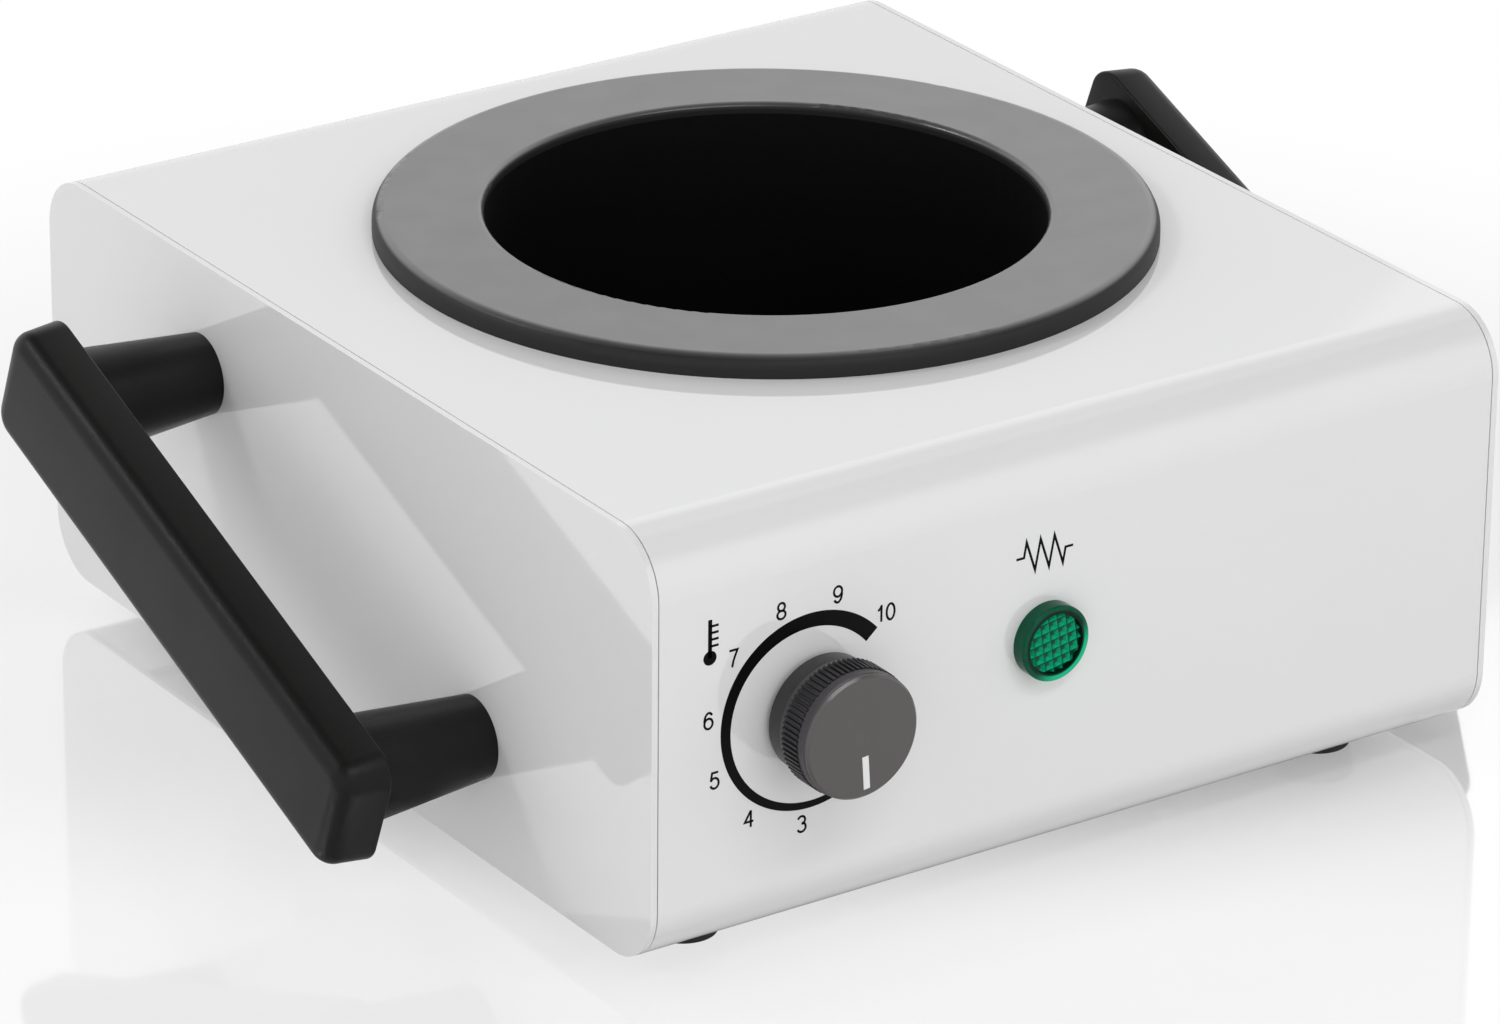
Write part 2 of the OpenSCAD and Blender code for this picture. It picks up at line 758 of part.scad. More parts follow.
// The pointer fills its groove and follows the cap's dome
module knob_pointer() {
    reach = pointer_out - pointer_in;
    color([0.97, 0.97, 0.97]) at_knob() translate([0, pointer_w / 2, knob_air + cap_seat + cap_top])
        rotate([90, 0, 0]) linear_extrude(pointer_w) polygon([
            [pointer_out, -pointer_deep],
            [pointer_in, -pointer_deep],
            for (i = [0 : 5]) [pointer_in + reach * i / 5, dome_drop(pointer_in + reach * i / 5)]
        ]);
}

module knob_spring() {
    color([0.75, 0.75, 0.78]) at_knob() translate([0, 0, knob_air + hub_back + 2]) difference() {
        ring(hub_r + grip_air, hub_r + 0.7, 4);
        translate([0, 0, -cut]) wedge(20, 12, 4 + 2 * cut);
    }
}

// Lamp space: the axis runs to the front from the panel's face
module at_lamp() {
    translate([lamp_x, front_y, lamp_z]) rotate([90, 0, 0]) children();
}

flange_t = 1;
waffle_drop = 0.5;
ridge_h = 0.7;
lens_tube_r = holder_r - 1.2;

// Ridges with a triangular section, crossed in two directions
module waffle_ridges() {
    count = floor(waffle_r / waffle_pitch);
    half = waffle_pitch / 2;
    intersection() {
        for (a = [0, 90]) rotate([0, 0, waffle_turn + a]) for (i = [-count - 1 : count + 1])
            translate([0, (i + 0.5) * waffle_pitch, 0]) rotate([90, 0, 90]) translate([0, 0, -waffle_r])
                linear_extrude(2 * waffle_r)
                    polygon([[-half * 0.55, -0.2], [half * 0.55, -0.2], [0, ridge_h]]);
        translate([0, 0, -cut]) cylinder(h = 3, r = waffle_r, $fn = fine);
    }
}

module lamp_lens() {
    floor_z = lens_out - waffle_drop - ridge_h;
    color([0, 0.55, 0.33]) at_lamp() {
        difference() {
            rotate_extrude($fn = fine) difference() {
                square([lens_r, lens_out]);
                translate([lens_r - 0.6, lens_out - 0.6]) difference() {
                    square([cut, cut]);
                    circle(r = 0.6, $fn = fine);
                }
            }
            translate([0, 0, -cut]) cylinder(h = flange_t + fit_air + cut, r = holder_r + 1.3, $fn = fine);
            translate([0, 0, floor_z]) cylinder(h = 3, r = waffle_r + 0.1, $fn = fine);
        }
        translate([0, 0, floor_z]) waffle_ridges();
        translate([0, 0, -12]) ring(lens_tube_r - 1, lens_tube_r, 12 + flange_t + fit_air + 0.2);
    }
}

module lamp_holder() {
    color([0.15, 0.15, 0.15]) at_lamp() difference() {
        union() {
            cylinder(h = flange_t, r = holder_r + 1.15, $fn = fine);
            translate([0, 0, -holder_len]) cylinder(h = holder_len + flange_t, r = holder_r, $fn = fine);
        }
        translate([0, 0, 2 - holder_len]) cylinder(h = holder_len + 2, r = lens_tube_r + 0.1, $fn = fine);
        for (x = [-3, 3]) translate([x - 0.4 - grip_air, -1.5 - grip_air, -holder_len - cut])
            cube([0.8 + 2 * grip_air, 3 + 2 * grip_air, 12]);
    }
}

module lamp_clip() {
    color([0.75, 0.75, 0.78]) at_lamp() translate([0, 0, -sheet_t - 1]) difference() {
        ring(holder_r + grip_air, holder_r + 3, 1);
        translate([0, 0, -cut]) wedge(12, 20, 3);
    }
}

module lamp_terminals() {
    color([0.8, 0.7, 0.35]) at_lamp() for (x = [-3, 3])
        translate([x - 0.4, -1.5, -holder_len - 6]) cube([0.8, 3, 11]);
}

module neon_lamp() {
    color([0.9, 0.6, 0.4]) at_lamp() translate([0, 0, -holder_len + 5.3]) {
        cylinder(h = 13, r = 2.6, $fn = fine);
        translate([0, 0, 13]) sphere(r = 2.6, $fn = fine);
    }
}

// A rounded bar: sharp at its inner face, rounded outside, a little narrower there
module bar_solid() {
    hull() {
        for (y = [-1, 1], z = [-1, 1]) {
            translate([post_len, y * (bar_len / 2 - bar_corner), z * (bar_w / 2 - bar_corner)])
                rotate([0, 90, 0]) cylinder(h = 1, r = bar_corner, $fn = 32);
            translate([
                post_len + bar_t - bar_round,
                y * (bar_len / 2 - bar_round),
                z * (bar_w / 2 - bar_draft - bar_round)
            ]) rotate([0, 90, 0]) sphere(r = bar_round, $fn = 32);
        }
    }
}

insert_r = screw_r + 1.5;
insert_len = 8;

module handle_bar(side) {
    color([0.15, 0.15, 0.15]) at_handle(side) difference() {
        bar_solid();
        at_posts() translate([0, 0, post_len - cut])
            cylinder(h = insert_len + 1 + cut, r = insert_r + grip_air, $fn = fine);
    }
}

module handle_posts(side) {
    color([0.13, 0.13, 0.13]) at_handle(side) at_posts() difference() {
        cylinder(h = post_len, r1 = post_r, r2 = post_bar_r, $fn = fine);
        translate([0, 0, -cut]) cylinder(h = post_len + 2 * cut, r = screw_r + screw_air, $fn = fine);
    }
}

module handle_inserts() {
    color([0.8, 0.7, 0.4]) for (side = [-1, 1]) at_handle(side) at_posts() translate([0, 0, post_len])
        ring(screw_r + grip_air, insert_r, insert_len);
}

module handle_washers() {
    color([0.75, 0.75, 0.78]) for (side = [-1, 1]) at_handle(side) at_posts() translate([0, 0, -side_t - 1])
        ring(screw_r + screw_air, screw_r + 3.5, 1);
}

module handle_screws() {
    color([0.7, 0.7, 0.72]) for (side = [-1, 1]) at_handle(side) at_posts() translate([0, 0, -side_t - 1])
        pan_screw(screw_r, side_t + 1 + post_len + insert_len - 1, screw_r + 2, 3.2);
}

// Gland space: the axis runs to the rear from the rear wall's face
module at_gland() {
    translate([gland_x, rear_y, gland_z]) rotate([-90, 0, 0]) children();
}

gland_hex_t = 5;
gland_in = 9;
gland_seal_len = 8;
gland_seal_r = cable_r + 2;

module gland_body() {
    color([0.1, 0.1, 0.1]) at_gland() difference() {
        union() {
            cylinder(h = gland_hex_t, r = 20 / sqrt(3), $fn = 6);
            translate([0, 0, -gland_in]) cylinder(h = gland_in + cut, r = gland_thread_r, $fn = fine);
            cylinder(h = gland_hex_t + 5, r = gland_thread_r, $fn = fine);
        }
        translate([0, 0, -gland_in - cut]) cylinder(h = 40, r = cable_r, $fn = fine);
        translate([0, 0, gland_hex_t - 2]) cylinder(h = 40, r = gland_seal_r + grip_air, $fn = fine);
    }
}

module gland_nut() {
    color([0.1, 0.1, 0.1]) at_gland() translate([0, 0, gland_hex_t + 0.3]) difference() {
        union() {
            cylinder(h = 7, r = 20 / sqrt(3), $fn = 6);
            cylinder(h = gland_out - gland_hex_t - 0.3, r1 = 9.8, r2 = cable_r + 2.6, $fn = fine);
        }
        translate([0, 0, -cut]) cylinder(h = 5 + cut, r = gland_thread_r + grip_air, $fn = fine);
        translate([0, 0, -cut]) cylinder(h = 40, r = cable_r, $fn = fine);
        translate([0, 0, -cut])
            cylinder(h = gland_seal_len - 1.7 + cut, r = gland_seal_r + grip_air, $fn = fine);
    }
}

module gland_seal() {
    color([0.2, 0.2, 0.2]) at_gland() translate([0, 0, gland_hex_t - 2])
        ring(cable_r, gland_seal_r, gland_seal_len);
}

module gland_locknut() {
    color([0.1, 0.1, 0.1]) at_gland() translate([0, 0, -sheet_t - 4])
        hex_nut(22, 4, gland_thread_r + grip_air);
}

// The three-pole terminal block on the base plate, in front of the gland
block_w = 34;
block_d = 18;
block_h = 14;
block_gap = 42;
block_y = rear_in_y - block_gap;
block_screw_x = 6;
pole_x = [-12, 0, 12];
clamp_y = [-5, 5];
clamp_rise = 6.5;
clamp_r = 1.85;
clamp_deep = 1.9;
clamp_h = 4.5;
wire_z = base_top + clamp_rise;

module terminal_block() {
    color([0.9, 0.9, 0.86]) translate([gland_x, block_y, base_top]) difference() {
        translate([-block_w / 2, -block_d / 2, 0]) cube([block_w, block_d, block_h]);
        for (x = pole_x) {
            translate([x, block_d / 2 + cut, clamp_rise]) to_front(1.8, block_d + 2 * cut);
            for (y = clamp_y) translate([x, y, clamp_rise])
                cylinder(h = block_h, r = clamp_r + grip_air, $fn = fine);
        }
        translate([block_screw_x, 0, 0]) hole(small_screw_r + screw_air, block_h);
    }
}

module terminal_screws() {
    color([0.8, 0.7, 0.35]) {
        for (x = pole_x, y = clamp_y) translate([gland_x + x, block_y + y, wire_z + clamp_deep])
            cylinder(h = clamp_h, r = clamp_r, $fn = fine);
        translate([gland_x + block_screw_x, block_y, base_top + block_h]) rotate([180, 0, 0])
            pan_screw(small_screw_r, block_h + base_t, 2.3, 1.6);
    }
}

// The earth stud on the base plate, with its nut and the ring tag that the earth lead ends in
earth_place = [gland_x + pole_x[0] - 5, block_y - 44, base_top];

module earth_stud() {
    color([0.8, 0.7, 0.35]) translate(earth_place) {
        translate([0, 0, -base_t]) cylinder(h = base_t + 9, r = base_screw_r, $fn = fine);
        ring(base_screw_r + grip_air, 4.5, 0.8);
        translate([0, 0, 0.8]) hex_nut(7, 3.2, base_screw_r + grip_air);
        translate([-1.5, 3.5, 0]) cube([3, 6, 0.8]);
    }
}

// A smooth curve through the points of a route
function bend_point(a, b, c, d, t) =
    0.5 * (2 * b + (c - a) * t + (2 * a - 5 * b + 4 * c - d) * t * t + (3 * b - a - 3 * c + d) * t * t * t);
function route_point(p, i, t) =
    bend_point(p[max(i - 1, 0)], p[i], p[i + 1], p[min(i + 2, len(p) - 1)], t);
function smooth_route(p, steps) =
    [for (i = [0 : len(p) - 2], k = [0 : steps - 1]) route_point(p, i, k / steps), p[len(p) - 1]];
function unit(v) = v / norm(v);
function heading(p, i) = unit(p[min(i + 1, len(p) - 1)] - p[max(i - 1, 0)]);
function across(v, way) = unit(v - (v * way) * way);

// A round tube along a route, its rings turned as little as the route allows
module tube(points, r, steps = 5, sides = 8) {
    path = smooth_route(points, steps);
    last = len(path) - 1;
    first_side = across([0.31, 0.23, 0.92], heading(path, 0));
    side_ways = [
        for (i = 0, s = first_side; i <= last; i = i + 1, s = across(s, heading(path, min(i, last)))) s
    ];
    ring_points = [
        for (i = [0 : last], k = [0 : sides - 1])
            let (h = heading(path, i), u = side_ways[i], w = cross(h, u), a = k * 360 / sides)
            path[i] + r * (cos(a) * u + sin(a) * w)
    ];
    walls = [
        for (i = [0 : last - 1], k = [0 : sides - 1], half = [0, 1])
            let (a = i * sides + k, b = i * sides + (k + 1) % sides)
            half == 0 ? [a, a + sides, b] : [b, a + sides, b + sides]
    ];
    start_cap = [for (k = [0 : sides - 1]) k];
    end_cap = [for (k = [sides - 1 : -1 : 0]) last * sides + k];
    polyhedron(concat(ring_points, [path[0]]), concat(walls, [start_cap], [end_cap]), convexity = 6);
}

// The lane for wires between the left side plate and the insulation, and the height they lie at
lane_x = (well_x - sleeve_out_r - body_w / 2) / 2;
floor_z = base_top + 3;
wire_end = 0.5;
wire_out = 6;
blade_z = [dial_z + blade_drop[0], dial_z + blade_drop[1]];
blade_y = switch_back_y + blade_len + wire_end;
lamp_wire_y = front_y + holder_len + 6 + wire_end;
block_front = block_y - block_d / 2 - wire_end;
cut_z = pot_under_z - fit_air - 9.2;
cut_reach = cutout_r + 6 + wire_end;

// A point beyond a clamp lug's end
function lug_point(side, out, z) =
    let (a = band_angle + side * band_gap / 2, offset = side * (lug_step + lug_t / 2))
    [
        well_x + (lug_out_r + out) * cos(a) - offset * sin(a),
        well_y + (lug_out_r + out) * sin(a) + offset * cos(a),
        z
    ];

// A point round the well
function well_point(r, a, z) = [well_x + r * cos(a), well_y + r * sin(a), z];

// A point in front of a pole of the terminal block
function pole_point(i, out, z = wire_z) = [gland_x + pole_x[i], block_front - out, z];

// A point behind a blade of the switch
function blade_point(i, row, out, drop = 0) = [dial_x + blade_x[i], blade_y + out, blade_z[row] - drop];

module capillary_tube() {
    cup_y = switch_back_y + cup_h + wire_end;
    bulb_top = bulb_z + bulb_len + 3 + wire_end;
    color([0.72, 0.45, 0.3]) tube([
        [dial_x, cup_y, dial_z + cup_drop],
        [dial_x, cup_y + wire_out, dial_z + cup_drop + 1],
        [dial_x + 4, cup_y + 2 * wire_out, dial_z + cup_drop + 2 * wire_out],
        well_point(bulb_circle + 5 * wire_out, band_angle + 6, bulb_top + wire_out),
        well_point(bulb_circle + wire_out, band_angle, bulb_top + wire_out + 2),
        well_point(bulb_circle, band_angle, bulb_top + wire_out - 1),
        well_point(bulb_circle, band_angle, bulb_top)
    ], capillary_r);
}

// Leads from the heater band: one to the neutral pole, one to the thermal cut-out
module heater_leads() {
    lug_z = band_mid_z + band_h / 4;
    color([0.85, 0.83, 0.75]) {
        tube([
            lug_point(-1, wire_end, lug_z),
            lug_point(-1, wire_out, lug_z),
            [lane_x + 8, well_y - 38, band_z],
            [lane_x + 8, well_y, floor_z + wire_out],
            [lane_x + 12, well_y + 30, floor_z + wire_out],
            pole_point(2, 3 * wire_out),
            pole_point(2, wire_out),
            pole_point(2, 0)
        ], wire_r);
        tube([
            [well_x + cut_reach, well_y, cut_z],
            [well_x + cut_reach + wire_out, well_y - 3, floor_z],
            well_point(pillar_circle_r - 15, 290, floor_z),
            well_point(pillar_circle_r + 12, 258, floor_z),
            well_point(lug_out_r + wire_out, 245, floor_z + wire_out / 2),
            lug_point(1, 1.5 * wire_out, band_z - wire_out / 2),
            lug_point(1, wire_out, band_z + wire_out),
            lug_point(1, wire_end, band_z + 1.5 * wire_out)
        ], wire_r);
    }
}

// Leads of the switch: one from the live pole, one to the thermal cut-out
module switch_leads() {
    color([0.45, 0.25, 0.15]) {
        tube([
            blade_point(0, 0, 0),
            blade_point(0, 0, wire_out, 1),
            [lane_x - 2, blade_y + 4 * wire_out, floor_z + 2 * wire_out],
            [lane_x - 5, well_y - 20, floor_z + wire_out],
            [lane_x - 1, well_y + 20, floor_z + wire_out],
            pole_point(1, 3 * wire_out, wire_z + wire_out / 2),
            pole_point(1, wire_out),
            pole_point(1, 0)
        ], wire_r);
        tube([
            blade_point(1, 0, 0),
            blade_point(1, 0, wire_out, 1),
            blade_point(1, 0, 2 * wire_out, 2 * wire_out),
            well_point(lug_out_r + wire_out, 222, floor_z),
            well_point(pillar_circle_r + 6, 205, floor_z),
            well_point(pillar_circle_r - 14, 190, floor_z),
            [well_x - cut_reach - wire_out, well_y, floor_z + 1],
            [well_x - cut_reach, well_y, cut_z]
        ], wire_r);
    }
}

// Leads of the pilot lamp, both to the switch
module lamp_leads() {
    color([0.2, 0.3, 0.6]) {
        tube([
            [lamp_x - 3, lamp_wire_y, lamp_z],
            [lamp_x - 4, lamp_wire_y + wire_out, lamp_z - 1],
            [lamp_x - 14, lamp_wire_y + wire_out, lamp_z - wire_out],
            blade_point(1, 1, 10) + [10, 0, 2],
            blade_point(1, 1, wire_out),
            blade_point(1, 1, 0)
        ], wire_r);
        tube([
            [lamp_x + 3, lamp_wire_y, lamp_z],
            [lamp_x + 3, lamp_wire_y + wire_out, lamp_z + 2],
            [lamp_x - 10, lamp_wire_y + 2 * wire_out, lamp_z + 10],
            [dial_x + 22, blade_y + 14, blade_z[1] + 14],
            [dial_x + 2, blade_y + 15, blade_z[1] + 3],
            blade_point(0, 1, wire_out),
            blade_point(0, 1, 0)
        ], wire_r);
    }
}

module earth_lead() {
    tag_y = earth_place[1] + 9.5;
    color([0.3, 0.6, 0.2]) tube([
        [earth_place[0], tag_y + wire_end, base_top + 1.4],
        [earth_place[0], tag_y + wire_out, base_top + 2.2],
        pole_point(0, wire_out + 2),
        pole_point(0, 0)
    ], wire_r);
}

housing_wrap();
side_plate(-1);  // side_plate_left
side_plate(1);  // side_plate_right
base_plate();
base_screws();
rubber_feet();
foot_screws();
foot_nuts();
collar_ring();
collar_screws();
heating_pot();
pot_gasket();
heater_band();
band_screw();
insulation_sleeve();
insulation_disc();
support_pillars();
pillar_screws();
thermal_cutout();
sensor_bulb();
bulb_clip();
capillary_tube();
thermostat_switch();
thermostat_terminals();
bush_nut();
bush_washer();
thermostat_spindle();
knob_body();
knob_cap();
knob_pointer();
knob_spring();
lamp_lens();
lamp_holder();
lamp_clip();
neon_lamp();
lamp_terminals();
handle_bar(-1);  // handle_bar_left
handle_bar(1);  // handle_bar_right
handle_posts(-1);  // handle_posts_left
handle_posts(1);  // handle_posts_right
handle_inserts();
handle_screws();
handle_washers();
gland_body();
gland_nut();
gland_seal();
gland_locknut();
terminal_block();
terminal_screws();
earth_stud();
heater_leads();
switch_leads();
lamp_leads();
earth_lead();
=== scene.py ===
"""Wax warmer: its studio, its finishes, its printed dial and its moulded grips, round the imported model."""

import json
import math

import bmesh
import bpy
import numpy as np
from mathutils import Matrix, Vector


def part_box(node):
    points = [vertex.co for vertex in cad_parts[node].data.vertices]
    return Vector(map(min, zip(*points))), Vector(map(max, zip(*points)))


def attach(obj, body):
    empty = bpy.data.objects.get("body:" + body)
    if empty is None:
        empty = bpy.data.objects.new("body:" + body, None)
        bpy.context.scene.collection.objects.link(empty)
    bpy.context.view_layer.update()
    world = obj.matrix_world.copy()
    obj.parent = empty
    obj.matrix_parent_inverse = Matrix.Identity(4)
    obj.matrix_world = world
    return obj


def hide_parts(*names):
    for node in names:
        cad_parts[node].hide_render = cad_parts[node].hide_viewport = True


bl_info = {
    "name": "Wax Warmer",
    "version": (1, 0, 0),
    "blender": (4, 5, 0),
    "location": "3D View > Sidebar > Warmer",
    "description": "Finishes, a printed dial and a studio for a wax warmer",
    "category": "Object",
}

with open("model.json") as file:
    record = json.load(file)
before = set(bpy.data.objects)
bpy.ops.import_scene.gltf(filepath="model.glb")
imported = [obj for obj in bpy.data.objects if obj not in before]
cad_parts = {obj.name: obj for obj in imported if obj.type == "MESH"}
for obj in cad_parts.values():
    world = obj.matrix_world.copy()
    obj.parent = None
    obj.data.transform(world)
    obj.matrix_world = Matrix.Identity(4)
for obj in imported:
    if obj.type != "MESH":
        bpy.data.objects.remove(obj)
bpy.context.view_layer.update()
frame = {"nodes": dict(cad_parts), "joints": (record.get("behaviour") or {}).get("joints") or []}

# A millimetre in metres, and how near two corners of a mesh are one
MM = 0.001
MERGE = 1e-7

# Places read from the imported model
PANEL_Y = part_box("housing_wrap")[0].y
KNOB_PLACE = frame["joints"][0]["pos_m"]
KNOB_FRONT_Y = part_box("knob_body")[0].y
LENS_LOW, LENS_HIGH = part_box("lamp_lens")
LAMP_X = (LENS_LOW.x + LENS_HIGH.x) / 2
LAMP_Z = (LENS_LOW.z + LENS_HIGH.z) / 2
COLLAR_LOW, COLLAR_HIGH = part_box("collar_ring")
WELL_X = (COLLAR_LOW.x + COLLAR_HIGH.x) / 2
WELL_Y = (COLLAR_LOW.y + COLLAR_HIGH.y) / 2
BAR_LOW, BAR_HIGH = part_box("handle_bar_right")

# The knob's smooth band in front of its ribs, and where it starts, forwards of the knob's place
BAND_LENGTH = 2.5 * MM
BAND_START = KNOB_PLACE[1] - KNOB_FRONT_Y - BAND_LENGTH

# How far below the collar's top its burnished coat starts and is full
COAT_START = 0.9 * MM
COAT_FULL = 0.2 * MM

# The lens: its waffle, and the way from the middle towards the rim's painted glow
WAFFLE_PITCH = 2.24 * MM
WAFFLE_TURN = math.radians(9)
PAINTED_GLOW_LEAN = math.radians(-52)

# Radii between which the lens's waffle ends, its dark ring ends and its rim's painted glow starts
WAFFLE_END = (6.6 * MM, 6.9 * MM)
RING_END = (7.5 * MM, 8.0 * MM)
PAINTED_GLOW_START = (7.2 * MM, 7.6 * MM)

# The table top's radius, and each softbox's place, then its width and height, in metres
TABLE_RADIUS = 3.0
REAR_SOFTBOX = ((-0.95, 0.65, 1.05), (0.3, 0.24))
RIGHT_SOFTBOX = ((0.75, 0.58, 1.2), (1.4, 1.1))
FRONT_SOFTBOX = ((-0.08, -0.95, 1.15), (1.2, 0.24))
SOFTBOX_AIM = (0.0, 0.0, 0.05)

# Steps along the printed arc, the thermometer's bulb, the table's edge, and a grip's arris and rounding
ARC_STEPS = 181
BULB_STEPS = 33
TABLE_STEPS = 96
ARRIS_STEPS = 5
ROUND_STEPS = 12

# The camera's sensor in millimetres, and how far it sees in metres
SENSOR_WIDTH = 36.0
CAMERA_REACH = 50.0


class Value:
    """One output of a shader node. Python's operators on it add Math nodes."""

    def __init__(self, shade, socket):
        self.shade = shade
        self.socket = socket

    def __add__(self, other):
        return self.shade.math("ADD", self, other)

    def __radd__(self, other):
        return self.shade.math("ADD", other, self)

    def __sub__(self, other):
        return self.shade.math("SUBTRACT", self, other)

    def __rsub__(self, other):
        return self.shade.math("SUBTRACT", other, self)

    def __mul__(self, other):
        return self.shade.math("MULTIPLY", self, other)

    def __truediv__(self, other):
        return self.shade.math("DIVIDE", self, other)

    def __pow__(self, other):
        return self.shade.math("POWER", self, other)


class Shade:
    """A node tree in the making, for a material or for the surroundings."""

    def __init__(self, tree):
        self.tree = tree

    def put(self, socket, value):
        """Links a Value to a socket, or sets the socket's own number or colour."""
        if isinstance(value, Value):
            self.tree.links.new(value.socket, socket)
        elif socket.type == "RGBA":
            socket.default_value = (*value[:3], 1.0)
        else:
            socket.default_value = value

    def add(self, kind, settings=None, inputs=None, out=0):
        """Adds a node: its settings first, then its inputs' values or links. Returns one of its outputs."""
        node = self.tree.nodes.new(kind)
        for key, setting in (settings or {}).items():
            setattr(node, key, setting)
        for key, value in (inputs or {}).items():
            self.put(node.inputs[key], value)
        return Value(self, node.outputs[out])

    def math(self, operation, *values):
        """A Math node on one, two or three values."""
        return self.add("ShaderNodeMath", {"operation": operation}, dict(enumerate(values)))

    def clamp(self, value):
        """A value held between 0 and 1."""
        return self.add("ShaderNodeClamp", None, {0: value})

    def step(self, value, low, high):
        """0 below low and 1 above high, with a smooth change between them."""
        return self.add(
            "ShaderNodeMapRange",
            {"interpolation_type": "SMOOTHSTEP"},
            {"Value": value, "From Min": low, "From Max": high},
        )

    def part(self, vector, axis):
        """The X, Y or Z of a vector, as axis 0, 1 or 2."""
        return self.add("ShaderNodeSeparateXYZ", None, {0: vector}, axis)

    def mix(self, factor, first, second):
        """The first colour at 0 and the second at 1."""
        return self.add("ShaderNodeMix", {"data_type": "RGBA"}, {0: factor, 6: first, 7: second}, 2)

    def seen(self):
        """1 where the camera looks straight at something, and 0 for all other light."""
        return self.add("ShaderNodeLightPath", None, None, "Is Camera Ray")


class Finish(Shade):
    """A material in the making. Its patterns are worked out in object coordinates, in metres."""

    def __init__(self, name):
        self.material = bpy.data.materials.new(name)
        self.material.use_nodes = True
        super().__init__(self.material.node_tree)
        self.shader = self.tree.nodes["Principled BSDF"]

    def place(self, centre=(0, 0, 0), turn=(0, 0, 0), stretch=(1, 1, 1)):
        """Object coordinates, moved to a centre, then turned, then stretched."""
        here = self.add("ShaderNodeTexCoord", None, None, "Object")
        moved = self.add("ShaderNodeVectorMath", {"operation": "SUBTRACT"}, {0: here, 1: centre})
        return self.add("ShaderNodeMapping", None, {"Vector": moved, "Rotation": turn, "Scale": stretch})

    def noise(self, vector, size, detail=2.0, roughness=0.5):
        """Soft noise from 0 to 1, whose blots are about size metres across."""
        return self.add(
            "ShaderNodeTexNoise",
            None,
            {"Vector": vector, "Scale": 1.0 / size, "Detail": detail, "Roughness": roughness},
        )

    def cells(self, vector, size):
        """Distance from the middle of the nearest of many cells, each about size metres across."""
        return self.add("ShaderNodeTexVoronoi", None, {"Vector": vector, "Scale": 1.0 / size})

    def waves(self, value, length):
        """A sine that repeats each length of a value: the sine of 2 pi times the value over the length."""
        return self.math("SINE", value * (2 * math.pi / length))

    def radius(self, here, first=0, second=2):
        """Distance from an axis: the root of the sum of two squared parts."""
        return self.math("SQRT", self.part(here, first) ** 2 + self.part(here, second) ** 2)

    def bump(self, height, distance):
        """A normal that leans with a height from 0 to 1, worth distance metres."""
        return self.add("ShaderNodeBump", None, {"Distance": distance, "Height": height})

    def cover(self, factor, kind, inputs):
        """Lays another shader over the first, by a factor."""
        over = self.add(kind, None, inputs)
        under = Value(self, self.shader.outputs[0])
        mixed = self.add("ShaderNodeMixShader", None, {0: factor, 1: under, 2: over})
        self.put(self.tree.nodes["Material Output"].inputs["Surface"], mixed)

    def done(self, **sockets):
        """Sets the shader's sockets, named in lower case, and returns the material."""
        for key, value in sockets.items():
            self.put(self.shader.inputs[key.replace("_", " ").title().replace("Ior", "IOR")], value)
        return self.material


def shade_of(colour, amount):
    """A colour made lighter or darker by a factor."""
    return tuple(min(c * amount, 1.0) for c in colour[:3])


def enamel(colour):
    """Gloss stoving enamel: faint orange peel about 2 mm across, and finer ripples that soften what it
    mirrors."""
    f = Finish("gloss_enamel")
    here = f.place()
    peel = f.noise(here, size=2.4 * MM, detail=1.0)
    ripple = f.noise(here, size=0.5 * MM, detail=2.0)
    cloud = f.noise(here, size=60 * MM, detail=2.0)
    return f.done(
        base_color=f.mix(cloud, shade_of(colour, 0.985), shade_of(colour, 1.01)),
        roughness=0.035 + ripple * 0.03,
        ior=1.85,
        normal=f.bump(peel * 0.85 + ripple * 0.15, distance=0.003 * MM),
    )


def phenolic(colour):
    """Moulded black phenolic: a fine even grain, softened to a low satin, with faint broad patches a little
    lighter and glossier.
    """
    f = Finish("phenolic")
    here = f.place()
    grain = f.noise(here, size=0.32 * MM, detail=3.0, roughness=0.6)
    broad = f.noise(here, size=11 * MM, detail=3.0)
    return f.done(
        base_color=f.mix(broad * 0.4 + grain * 0.6, shade_of(colour, 0.3), shade_of(colour, 1.9)),
        roughness=0.29 + grain * 0.18 - broad * 0.05,
        ior=1.29,
        normal=f.bump(grain, distance=0.045 * MM),
    )


def collar_satin(colour):
    """Satin black collar: matt on its side, and burnished on the flat top by a coat that starts near its
    height."""
    f = Finish("collar_satin")
    here = f.place((WELL_X, WELL_Y, 0))
    grain = f.noise(here, size=0.3 * MM, detail=3.0, roughness=0.6)
    cloud = f.noise(here, size=14 * MM, detail=2.0)
    top = f.step(f.part(here, 2), COLLAR_HIGH.z - COAT_START, COLLAR_HIGH.z - COAT_FULL)
    return f.done(
        base_color=f.mix(grain, shade_of(colour, 0.7), shade_of(colour, 1.4)),
        roughness=0.46 + grain * 0.12,
        ior=1.35,
        coat_weight=top * (0.8 + cloud * 0.2),
        coat_roughness=0.3,
        coat_ior=2.4,
        normal=f.bump(grain, distance=0.01 * MM),
    )


def pot_coat(colour):
    """Dark non-stick coat: a fine spatter over faint turning marks that run round the well."""
    f = Finish("non_stick_coat")
    here = f.place((WELL_X, WELL_Y, 0))
    spatter = f.noise(here, size=0.8 * MM, detail=3.0, roughness=0.65)
    height = f.part(here, 2)
    turned = f.waves(height, 1.6 * MM)
    return f.done(
        base_color=f.mix(spatter, shade_of(colour, 0.6), shade_of(colour, 1.6)),
        roughness=0.4 + spatter * 0.18,
        ior=1.3,
        normal=f.bump(spatter * 0.8 + turned * 0.1, distance=0.01 * MM),
    )


